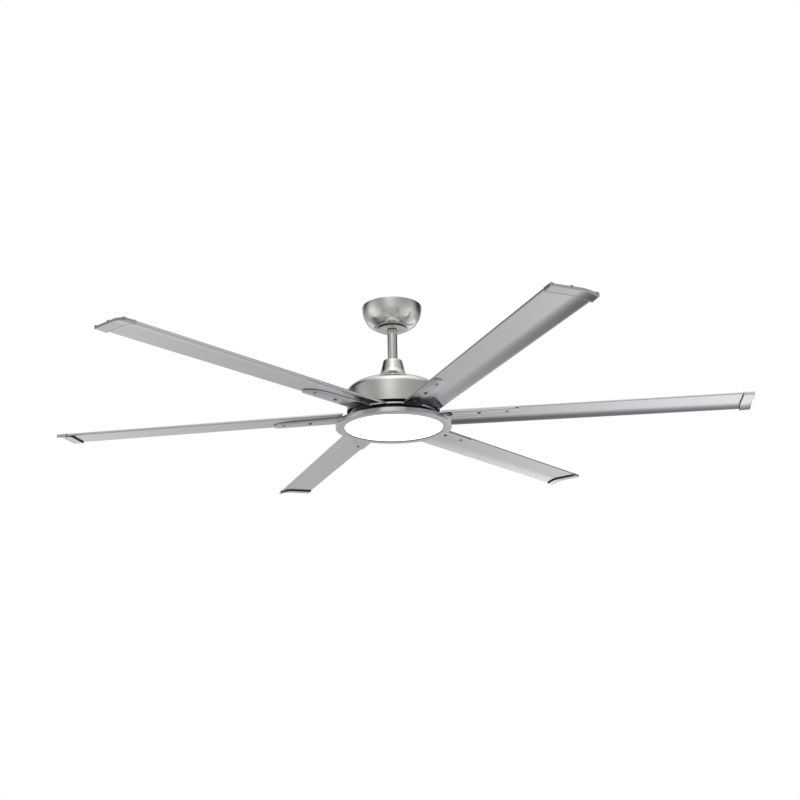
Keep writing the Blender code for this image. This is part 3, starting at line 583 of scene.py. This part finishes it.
DRUM_R, DRUM_TOP, DRUM_BOTTOM = 123.8, 110.8, 24.4
shoulder = [
    (40.2 + (DRUM_R - 40.2) * math.sin(math.pi / 2 * k / 36), DRUM_TOP - 34.3 * (1 - math.cos(math.pi / 2 * k / 36)))
    for k in range(37)
]
shoulder_in = [
    (40.2 + (DRUM_R - 41.8) * math.sin(math.pi / 2 * k / 24), DRUM_TOP - 1.6 - 32.7 * (1 - math.cos(math.pi / 2 * k / 24)))
    for k in range(25)
]
drum_profile = (
    [(9.0, DRUM_TOP), (26.0, DRUM_TOP)]
    + shoulder
    + [(DRUM_R, 50.0), (DRUM_R, DRUM_BOTTOM + 0.9), (DRUM_R - 0.25, DRUM_BOTTOM + 0.3), (DRUM_R - 0.8, DRUM_BOTTOM), (DRUM_R - 1.6, DRUM_BOTTOM)]
    + list(reversed(shoulder_in))
    + [(9.0, DRUM_TOP - 1.6)]
)
add("drum", turned_mesh("drum", drum_profile, 224), NICKEL, "hanger", ["motor_housing"])

# ---------------------------------------------------------------- flywheel and hub cover
bm = bmesh.new()
lathe_into(
    bm,
    fillet([(30.0, 13.9), (118.0, 13.9), (118.0, 18.6), (30.0, 18.6)], [0.4, 0.8, 0.8, 0.4], 4),
    (0, 0),
    176,
)
for k in range(6):
    turn = math.radians(FIRST_TURN + 60 * k)
    for x in (80.0, 98.0):
        cx = x * math.cos(turn) - 3.0 * math.sin(turn)
        cy = x * math.sin(turn) + 3.0 * math.cos(turn)
        lathe_into(bm, [(0, 4.5), (1.9, 4.5), (2.4, 5.0), (2.4, 14.2), (0, 14.2)], (cx, cy), 24)
    turn += math.radians(30)
    lathe_into(
        bm,
        [(0, -2.7), (3.6, -2.7), (4.0, -2.3), (4.0, 14.2), (0, 14.2)],
        (92 * math.cos(turn), 92 * math.sin(turn)),
        28,
    )
add("flywheel_disc", finish_mesh(bm, "flywheel_disc"), FLYWHEEL, "rotor", ["flywheel"])

hub_profile = fillet(
    [
        (21.0, -4.8), (116.0, -4.8), (116.0, 7.6), (113.6, 7.6), (113.6, -3.2), (71.0, -3.2),
        (71.0, 7.6), (67.5, 7.6), (67.5, -3.2), (21.0, -3.2),
    ],
    [0.5, 2.0, 0.7, 0.7, 1.0, 0.6, 0.5, 0.5, 0.6, 0.5],
    4,
)
add("hub_dish", turned_mesh("hub_dish", hub_profile, 144), HUB_BLACK, "rotor", ["hub_cover"])

# ---------------------------------------------------------------- light
ring_profile = fillet(
    [
        (153.5, -6.9), (153.5, -19.7), (131.2, -19.7), (131.2, -12.0), (132.8, -12.0),
        (132.8, -18.0), (151.5, -18.0), (151.5, -6.9),
    ],
    [0.5, 2.0, 0.9, 0.3, 0.3, 0.4, 0.6, 0.4],
    6,
)
add("light_trim", turned_mesh("light_trim", ring_profile, 224), RING, "hanger", ["light_ring"])
add(
    "light_base",
    turned_mesh("light_base", fillet([(8.9, -7.2), (151.0, -7.2), (151.0, -8.4), (8.9, -8.4)], [0.2, 0.4, 0.4, 0.2], 3), 144),
    PAN_GREY,
    "hanger",
    ["light_pan"],
)
lens_profile = (
    [(0, -18.9)]
    + [(130.7 * t, -18.9 + 0.7 * t ** 4) for t in (0.2, 0.4, 0.6, 0.75, 0.88, 0.95)]
    + fillet([(129.9, -18.2), (130.7, -17.6), (130.7, -12.4), (129.1, -12.4), (129.1, -16.5)], [0, 0.5, 0.3, 0.3, 0], 4)
    + [(0, -16.7)]
)
add("opal_lens", turned_mesh("opal_lens", lens_profile, 192, 40), OPAL, "hanger", ["diffuser"])

# ---------------------------------------------------------------- blades
# A blade lies along +X with its leading edge towards -Y.


def lead(x):
    return 13.6 + 5.7 * (1 - x / TIP)


def trail(x):
    return 87.8 - 8.5 * (1 - x / TIP)


def under(x, behind):
    chord = lead(x) + trail(x)
    start = 0.61 * chord
    curl = (2 * 5.37 - TRAIL_LIFT - 0.012 * chord) / (chord - start) ** 2
    return 8.6 * (1 - x / TIP) + 5.37 - 0.012 * behind - curl * max(0.0, behind - start) ** 2


def ease(t):
    t = min(1.0, max(0.0, t))
    return t * t * (3 - 2 * t)


RIB_SHARE, RIB_R = 0.44, 3.2
# Screw boss on top of the web: share of the chord, half width and height in mm.
BOSSES = ((RIB_SHARE, 3.4, 2.7),)


def bump_up(share, chord, bosses):
    up = 0.0
    for centre, half, rise in bosses:
        away = abs(share - centre) * chord / half
        if away < 1:
            up = max(up, rise * math.sqrt(1 - away ** 2))
    return up


def thick(share):
    """A thin web with a lip along each edge."""
    return (
        MID_T
        + (LEAD_T - MID_T) * (1 - ease((share - 0.012) / 0.075))
        + (TRAIL_T - MID_T) * ease((share - 0.90) / 0.065)
    )


UNDER_SHARES = [0.016, 0.03, 0.06, 0.1, 0.18, 0.28, 0.38, 0.48, 0.56, 0.60] + [0.61 + 0.37 * k / 16 for k in range(17)]
TOP_SHARES = (
    [0.995, 0.985, 0.972, 0.955, 0.94, 0.93, 0.92, 0.88, 0.84, 0.79, 0.74, 0.69, 0.64, 0.59, 0.54, 0.49]
    + [RIB_SHARE + 0.034 * math.cos(math.pi * k / 10) for k in range(11)]
    + [0.39, 0.33, 0.26, 0.19, 0.14, 0.1, 0.08, 0.068, 0.055, 0.042, 0.03, 0.02]
)


def section(x, low_off=0.0, top_off=0.0, lead_off=0.0, trail_off=0.0, bead=0.0):
    """Fine loop of (y, height) round the blade at x: leading edge, underside, trailing edge, top.

    The offsets push each side out, for the end cap.
    """
    chord = lead(x) + trail(x)
    y0, end = -lead(x) - lead_off, -lead(x) + chord + trail_off
    low_lead, low_trail = under(x, 0) - low_off, under(x, chord) - low_off
    high_lead = under(x, 0) + LEAD_T + top_off
    high_trail = under(x, chord) + TRAIL_T + top_off
    rise = BOSSES
    loop = []
    for k in range(5):
        a = math.pi / 2 * k / 4
        loop.append((y0 + 1.2 - 1.2 * math.sin(a), high_lead - 1.4 * (1 - math.cos(a))))
    for k in range(4):
        a = math.pi / 2 * k / 3
        loop.append((y0 + 1.3 - 1.3 * math.cos(a), low_lead + 1.3 - 1.3 * math.sin(a)))
    for share in UNDER_SHARES:
        loop.append((-lead(x) + share * chord, under(x, share * chord) - low_off))
    for k in range(5):
        a = math.pi / 2 * k / 4
        loop.append((end - 1.3 + 1.3 * math.sin(a), low_trail + 1.3 - 1.3 * math.cos(a)))
    middle = (low_trail + high_trail) / 2
    for up, out in ((-0.9, 0.0), (-0.55, 0.3), (0.0, 0.55), (0.55, 0.3), (0.9, 0.0)):
        loop.append((end + out * bead, middle + up))
    for k in range(5):
        a = math.pi / 2 * k / 4
        loop.append((end - 1.4 + 1.4 * math.cos(a), high_trail - 1.4 + 1.4 * math.sin(a)))
    for share in TOP_SHARES:
        if -lead(x) + share * chord > end - 1.5 or -lead(x) + share * chord < y0 + 1.3:
            share = min(max(share, (1.3 + 0.02 - lead_off) / chord), 1 - (1.5 - trail_off) / chord)
        loop.append((-lead(x) + share * chord, under(x, share * chord) + thick(share) + top_off + bump_up(share, chord, rise)))
    return loop


def grown(loop, amount):
    """The loop pushed out along its corner normals."""
    out = []
    count = len(loop)
    for k in range(count):
        a, b, c = Vector(loop[k - 1]), Vector(loop[k]), Vector(loop[(k + 1) % count])
        e1, e2 = (b - a), (c - b)
        if e1.length < 1e-6:
            e1 = e2
        if e2.length < 1e-6:
            e2 = e1
        e1, e2 = e1.normalized(), e2.normalized()
        n1, n2 = Vector((e1.y, -e1.x)), Vector((e2.y, -e2.x))
        normal = (n1 + n2).normalized()
        reach = amount / max(0.6, normal.dot(n1))
        out.append((b.x - normal.x * reach, b.y - normal.y * reach))
    return out


def loft(bm, stations, close_start=True, close_end=True):
    rings = [[bm.verts.new((x * MM, y * MM, Z(h))) for y, h in loop] for x, loop in stations]
    for a, b in zip(rings, rings[1:]):
        count = len(a)
        for k in range(count):
            m = (k + 1) % count
            bm.faces.new((a[k], a[m], b[m], b[k]))
    if close_start:
        bm.faces.new(list(reversed(rings[0])))
    if close_end:
        bm.faces.new(rings[-1])
    return rings


CAP_FLOOR = TIP - 3.0


def cell_loop(x, s0, s1):
    """Hollow of the extrusion between two webs, seen at the root end."""
    chord = lead(x) + trail(x)
    y0 = -lead(x)
    shares = [s0 + (s1 - s0) * k / 8 for k in range(9)]
    low = [(y0 + s * chord, under(x, s * chord) + 1.15) for s in shares]
    high = [(y0 + s * chord, under(x, s * chord) + MID_T - 1.1) for s in reversed(shares)]
    return low + high


def blade_mesh():
    bm = bmesh.new()
    root = BLADE_ROOT
    stations = [root + (CAP_FLOOR - 0.4 - root) * k / 40 for k in range(41)]
    rings = [[bm.verts.new((x * MM, y * MM, Z(h))) for y, h in section(x, bead=1.0)] for x in stations]
    for a, b in zip(rings, rings[1:]):
        count = len(a)
        for k in range(count):
            m = (k + 1) % count
            bm.faces.new((a[k], a[m], b[m], b[k]))
    bm.faces.new(rings[-1])
    cells = [(0.05, 0.40), (0.48, 0.72)]
    mouths, floors = [], []
    for s0, s1 in cells:
        mouths.append([bm.verts.new((root * MM, y * MM, Z(h))) for y, h in cell_loop(root, s0, s1)])
        deep = root + 26.0
        floors.append([bm.verts.new((deep * MM, y * MM, Z(h))) for y, h in cell_loop(deep, s0, s1)])
    everything = [rings[0]] + mouths
    flat = [[Vector((v.co.y * 1000, v.co.z * 1000, 0)) for v in loop] for loop in everything]
    pool = [v for loop in everything for v in loop]
    for tri in tessellate_polygon(flat):
        bm.faces.new([pool[i] for i in tri])
    for mouth, floor in zip(mouths, floors):
        count = len(mouth)
        for k in range(count):
            m = (k + 1) % count
            bm.faces.new((mouth[k], mouth[m], floor[m], floor[k]))
        bm.faces.new(floor)
    # the rear wall runs on past the root as a short tongue
    tongue = []
    for x in (root + 1.5, root - 4.0, root - 9.5, root - 12.0):
        far = trail(x) - 0.5
        base, top = under(x, lead(x) + trail(x)) + 1.3, under(x, lead(x) + trail(x)) + TRAIL_T - 0.5
        slim = 1.2 if x < root - 10 else 0.0
        tongue.append((x, [(far - 2.6, base + slim), (far, base + slim), (far, top - slim), (far - 2.6, top - slim)]))
    loft(bm, tongue)
    return finish_mesh(bm, "blade", 35)


MOUTH = TIP - CAP_LENGTH


def cap_section(x, inset_by=0.0):
    """Outline of the end cap, which stands proud below the blade and follows its top."""
    t = (x - MOUTH) / CAP_LENGTH
    loop = section(x, low_off=3.4 - 0.9 * t, top_off=0.6 - 0.2 * t, lead_off=0.3, trail_off=1.5 - 0.9 * t)
    return grown(loop, -inset_by) if inset_by else loop


def cap_mesh():
    """End cap as a sleeve round the blade's end, with one screw boss along its top."""
    bm = bmesh.new()
    stations = [
        (CAP_FLOOR, section(CAP_FLOOR, 0.25, 0.25, 0.25, 0.25)),
        (MOUTH + 1.1, section(MOUTH, 0.25, 0.25, 0.25, 0.25)),
        (MOUTH + 0.9, cap_section(MOUTH, 0.65)),
        (MOUTH, cap_section(MOUTH, 0.5)),
        (MOUTH + 0.1, cap_section(MOUTH, 0.15)),
        (MOUTH + 0.4, cap_section(MOUTH)),
    ]
    for k in range(1, 9):
        x = MOUTH + (CAP_LENGTH - 0.5) * k / 8
        stations.append((x, cap_section(x)))
    stations += [(TIP - 0.15, cap_section(TIP, 0.12)), (TIP, cap_section(TIP, 0.45))]
    loft(bm, stations)
    return finish_mesh(bm, "blade_cap", 32)


def mouth_shade_mesh():
    """Black band between the blade and the mouth of its cap, painted shade for the shadowed step there."""
    bm = bmesh.new()
    inner = lambda x: section(x, 0.06, 0.06, 0.06, 0.06)
    body = lambda cut: section(MOUTH, 2.9 - cut, 0.45, 0.25, 1.1)
    stations = [
        (MOUTH + 0.9, inner(MOUTH + 0.9)),
        (MOUTH - 0.45, inner(MOUTH - 0.45)),
        (MOUTH - 0.45, body(0.5)),
        (MOUTH - 0.3, body(0.1)),
        (MOUTH - 0.1, body(0.0)),
        (MOUTH + 0.9, body(0.0)),
        (MOUTH + 0.9, inner(MOUTH + 0.9)),
    ]
    loft(bm, stations, False, False)
    bmesh.ops.remove_doubles(bm, verts=bm.verts, dist=1e-7)
    return finish_mesh(bm, "cap_mouth_shade", 35)


def cap_screws_mesh():
    """Three pan-head screws in the end wall of a cap, each with a cross recess."""
    bm = bmesh.new()
    chord = lead(TIP) + trail(TIP)
    for share, base in ((0.03, 1.3), (RIB_SHARE, 1.5), (0.968, 2.1)):
        cy = -lead(TIP) + share * chord
        ch = under(TIP, share * chord) + base + 0.9
        segments = 24
        rings = []
        for radius, out in ((1.0, -0.35), (1.0, 0.42), (1.35, 0.42), (1.7, 0.3), (1.95, 0.0), (1.95, -0.4)):
            ring = []
            for k in range(segments):
                a = math.tau * k / segments
                r = radius
                if radius == 1.0:  # cross-shaped socket
                    r = 0.34 + 0.66 * abs(math.cos(2 * a)) ** 3
                ring.append(bm.verts.new(((TIP + out) * MM, (cy + r * math.cos(a)) * MM, Z(ch + r * math.sin(a)))))
            rings.append(ring)
        for a, b in zip(rings, rings[1:]):
            for k in range(segments):
                m = (k + 1) % segments
                bm.faces.new((a[k], a[m], b[m], b[k]))
        bm.faces.new(rings[0])
        bm.faces.new(rings[-1])
    return finish_mesh(bm, "cap_screws", 35)


# Arm: a flat plate with a straight front edge, a rounded end and a long S-shaped back edge.
SCREW_X = (152.5, 226.5, 299.0)
SCREW_D = 21.0
ARM_T = 3.2
GAP = 0.35


def arm_top(x, y):
    return 8.6 * (1 - x / TIP) + 5.37 - 0.012 * (y + lead(x)) - GAP


def arm_under(x, y):
    return arm_top(x, y) - ARM_T


def arm_outline():
    front = [(60.0, -17.0), (104.0, -19.5), (124.0, -lead(124) - 1.5), (312.0, -lead(312) - 1.5)]
    back = [
        (312.0, -lead(312) - 1.5), (322.0, -lead(322) - 0.2), (329.0, -lead(329) + 5.0), (331.0, -lead(331) + 12.0),
        (328.5, -lead(329) + 20.5), (320.0, -lead(320) + 29.0), (302.0, -lead(302) + 38.0),
        (272.0, -lead(272) + 44.5), (220.0, -lead(220) + 46.5), (180.0, -lead(180) + 48.5), (150.0, -lead(150) + 50.0),
        (132.0, -lead(132) + 49.5), (122.0, -lead(122) + 45.0), (113.0, 24.5), (104.0, 20.0), (90.0, 18.4),
    ]
    outline = [front[0]] + smooth_line(front[1:3], 2)[:-1] + [front[2]]
    outline += [(124 + (312 - 124) * k / 12, -lead(124 + (312 - 124) * k / 12) - 1.5) for k in range(1, 12)]
    outline += smooth_line(back, 6)
    outline += [(60.0, 18.0)]
    return outline


def arm_mesh():
    holes = [list(reversed(circle(x, SCREW_D - lead(x), 2.7, 24))) for x in SCREW_X]
    holes += [list(reversed(circle(x, 3.0, 2.9, 24))) for x in (80.0, 98.0)]
    bm = plate_bm(arm_outline(), holes, arm_under, arm_top, edge=1.1, steps=4)
    return finish_mesh(bm, "blade_arm", 35)


def fixing_mesh():
    """Nut bar on top of the blade and three button-head screws with a hexagon socket from below."""
    x0, x2 = SCREW_X[0], SCREW_X[2]
    y_of = lambda x: SCREW_D - lead(x)
    low = lambda x, y: arm_top(x, y) + GAP + MID_T + 0.45
    high = lambda x, y: low(x, y) + 2.0
    bar = fillet(
        [(x0 - 9, y_of(x0) - 6), (x2 + 9, y_of(x2) - 6), (x2 + 9, y_of(x2) + 6), (x0 - 9, y_of(x0) + 6)],
        [5.5] * 4,
        8,
    )
    bm = plate_bm(bar, [], low, high, edge=0.4, steps=3)
    for x in SCREW_X:
        y = y_of(x)
        seat = arm_under(x, y) - 0.35
        top = low(x, y) + 2.6
        segments = 36
        # dome, from the socket's rim out to the edge, then up the shank
        rings = []

        def ring(radius, height, hexagon=False):
            made = []
            for k in range(segments):
                a = math.tau * k / segments
                r = radius
                if hexagon:
                    r = radius * math.cos(math.pi / 6) / math.cos((a % (math.pi / 3)) - math.pi / 6)
                made.append(bm.verts.new(((x + r * math.cos(a)) * MM, (y + r * math.sin(a)) * MM, Z(height))))
            return made

        rings.append(ring(1.55, seat - 0.75, True))
        rings.append(ring(1.62, seat - 1.3, True))
        for k in range(7):
            a = math.pi / 2 * k / 6
            rings.append(ring(2.2 + 2.7 * math.sin(a), seat - 0.45 - 1.0 * math.cos(a)))
        rings.append(ring(4.9, seat - 0.1))
        rings.append(ring(4.7, seat))
        rings.append(ring(2.2, seat))
        rings.append(ring(2.2, top))
        rings.append(ring(1.8, top + 0.4))
        sides = []
        for a, b in zip(rings, rings[1:]):
            for k in range(segments):
                m = (k + 1) % segments
                sides.append(bm.faces.new((a[k], a[m], b[m], b[k])))
        sides.append(bm.faces.new(rings[0]))
        sides.append(bm.faces.new(rings[-1]))
        # the outermost screw takes the lighter copy, as painted light
        if x == SCREW_X[2]:
            for side in sides:
                side.material_index = 1
    return finish_mesh(bm, "blade_fixing", 35)


shapes = (
    ("blade", blade_mesh(), BLADE, "blade_silver", "blade"),
    ("end_cap", cap_mesh(), CAP, "cap_silver", "blade_cap"),
    # painted shade: the black band at each cap's mouth
    ("cap_mouth_shade", mouth_shade_mesh(), MOUTH_SHADE_BLACK, "dark_plastic", None),
    ("cap_screws", cap_screws_mesh(), SCREW, "fastener_black", None),
    ("arm", arm_mesh(), ARM, "arm_steel", "blade_arm"),
    ("arm_screws", fixing_mesh(), (SCREW, SCREW_PAINTED_LIGHT), "fastener_black", "blade_fixing"),
)
for k in range(6):
    turn = math.radians(FIRST_TURN + 60 * k)
    for stem, mesh, look, slot, node in shapes:
        add(f"{stem}_{k + 1}_visual", mesh, look, "rotor", [f"{node}_{k + 1}"] if node else [], turn)

# ---------------------------------------------------------------- carried-over construction pieces
KEPT = {
    "ceiling_bracket": ZINC,
    "canopy_screw_1": ZINC,
    "canopy_screw_2": ZINC,
    "receiver_box": WHITE_BOX,
    "terminal_block": WHITE_BOX,
    "ball_seat_liner": NYLON,
    "hanger_ball": BALL_BLACK,
    "ball_pin": STEEL_SHAFT,
    "motor_coupling": ZINC,
    "coupling_pin": ZINC,
    "coupling_pin_clip": ZINC,
    "coupling_set_screw": SCREW,
    "motor_shaft": STEEL_SHAFT,
    "housing_lock_nut": ZINC,
    "light_lock_nut": ZINC,
    "upper_bearing_inner_race": BEARING,
    "lower_bearing_inner_race": BEARING,
    "upper_bearing_outer_race": BEARING,
    "lower_bearing_outer_race": BEARING,
    "stator_core": LAMINATION,
    "stator_winding": COPPER,
    "motor_board": BOARD_GREEN,
    "rotor_housing": DARK_CAST,
    "rotor_cover": DARK_CAST,
    "magnet_ring": MAGNET,
    "led_board": LED_WHITE,
}
for name, look in KEPT.items():
    mesh = NODES[name].data
    mesh.materials.clear()
    mesh.materials.append(look)

# ---------------------------------------------------------------- floor, camera, light
floor_mesh = bpy.data.meshes.new("floor")
floor_mesh.from_pydata([(-9, -9, -2.7), (9, -9, -2.7), (9, 9, -2.7), (-9, 9, -2.7)], [], [(0, 1, 2, 3)])
floor = bpy.data.objects.new("floor", floor_mesh)
bpy.context.scene.collection.objects.link(floor)
made, n, shader = start_material("pale_floor")
shader.inputs["Base Color"].default_value = (0.86, 0.86, 0.86, 1)
shader.inputs["Roughness"].default_value = 0.9
floor_mesh.materials.append(made)
floor.visible_glossy = False
floor.visible_shadow = False

elevation, yaw, roll = math.radians(18.81619), math.radians(-0.28956), math.radians(-0.89827)
forward = Vector((math.sin(yaw) * math.cos(elevation), math.cos(yaw) * math.cos(elevation), math.sin(elevation)))
right = Vector((math.cos(yaw), -math.sin(yaw), 0))
up = right.cross(forward)
right, up = right * math.cos(roll) + up * math.sin(roll), up * math.cos(roll) - right * math.sin(roll)
camera = bpy.data.objects.new("camera", bpy.data.cameras.new("camera"))
bpy.context.scene.collection.objects.link(camera)
camera.matrix_world = Matrix(
    (
        (right.x, up.x, -forward.x, 0.0),
        (right.y, up.y, -forward.y, -2.64115),
        (right.z, up.z, -forward.z, -1.10073),
        (0, 0, 0, 1),
    )
)
camera.data.sensor_width = 36
camera.data.lens = 46.8456
camera.data.shift_x = 0.01501
camera.data.shift_y = -0.02845
camera.data.clip_end = 300
bpy.context.scene.camera = camera

world = bpy.data.worlds.new("studio")
bpy.context.scene.world = world
world.use_nodes = True
tree = world.node_tree
tree.nodes.clear()
n = Nodes(tree)
direction = n.new("ShaderNodeTexCoord").outputs["Generated"]


def lobe(axis, sharp, weight):
    """A broad soft panel (positive) or flag (negative) in one direction of the studio."""
    axis = Vector(axis).normalized()
    dot = n.new("ShaderNodeVectorMath", operation="DOT_PRODUCT")
    n.link(direction, dot.inputs[0])
    dot.inputs[1].default_value = axis
    power = n.math("MULTIPLY", n.math("SUBTRACT", dot.outputs["Value"], 1.0), sharp)
    scaled = n.new("ShaderNodeVectorMath", operation="SCALE")
    scaled.inputs[0].default_value = weight if isinstance(weight, tuple) else (weight, weight, weight)
    n.link(n.math("EXPONENT", power), scaled.inputs["Scale"])
    return scaled.outputs[0]


def joined(kind, a, b):
    """Vector sum or maximum."""
    node = n.new("ShaderNodeVectorMath", operation=kind)
    for value, socket in ((a, node.inputs[0]), (b, node.inputs[1])):
        if isinstance(value, tuple):
            socket.default_value = value
        else:
            n.link(value, socket)
    return node.outputs[0]


LOBES = [
    ((-0.92, -0.16, 0.36), 1.5, -0.54),
    ((0.23, 0.73, -0.64), 1.5, -0.31),
    ((-0.32, 0.29, 0.90), 3, 0.09),
    ((0.26, 0.00, 0.97), 3, 1.31),
    ((0.85, 0.31, 0.43), 3, -1.02),
    ((-0.10, -0.78, 0.61), 6, -0.33),
    ((0.60, -0.59, 0.54), 6, -0.19),
    ((0.92, 0.05, -0.39), 6, 0.30),
    ((-0.08, 0.52, -0.85), 10, -0.68),
    ((-0.27, 0.70, -0.66), 10, -0.78),
    ((-0.79, -0.42, -0.45), 10, 0.21),
    ((-0.93, -0.13, -0.34), 10, 0.34),
    ((-1.00, -0.01, -0.04), 10, 0.69),
    ((0.86, -0.22, -0.46), 10, 0.39),
    ((-0.07, -0.53, 0.84), 14, 0.96),
    ((-0.11, 0.52, -0.85), 14, 0.96),
    ((-0.16, -0.99, -0.04), 14, 0.38),
    ((-0.18, -0.84, 0.51), 14, 0.66),
    ((-0.44, 0.81, -0.38), 14, 1.17),
    ((-0.67, 0.59, -0.46), 14, -0.15),
    ((-0.73, 0.38, 0.56), 14, -0.62),
    ((-0.79, -0.52, 0.32), 14, 0.13),
    ((0.38, 0.44, -0.81), 14, -0.10),
    ((0.38, 0.86, -0.34), 14, 0.71),
    ((0.40, -0.92, 0.01), 14, 0.06),
    ((0.52, 0.71, -0.48), 14, 0.72),
    ((0.88, 0.43, -0.19), 14, 0.28),
    ((0.99, -0.03, 0.10), 14, 0.37),
]
BASE = 0.700
total = (BASE, BASE, BASE)
for axis, sharp, weight in LOBES:
    total = joined("ADD", lobe(axis, sharp, weight), total)
studio = n.new("ShaderNodeBackground")
n.link(joined("MAXIMUM", total, (0.02, 0.02, 0.02)), studio.inputs["Color"])
plain = n.new("ShaderNodeBackground")
plain.inputs["Color"].default_value = (1, 1, 1, 1)
plain.inputs["Strength"].default_value = 1.0
choose = n.new("ShaderNodeMixShader")
n.link(n.new("ShaderNodeLightPath").outputs["Is Camera Ray"], choose.inputs[0])
n.link(studio.outputs[0], choose.inputs[1])
n.link(plain.outputs[0], choose.inputs[2])
out = n.new("ShaderNodeOutputWorld")
n.link(choose.outputs[0], out.inputs["Surface"])

bpy.context.scene.view_settings.view_transform = "Standard"
bpy.context.scene.view_settings.look = "None"
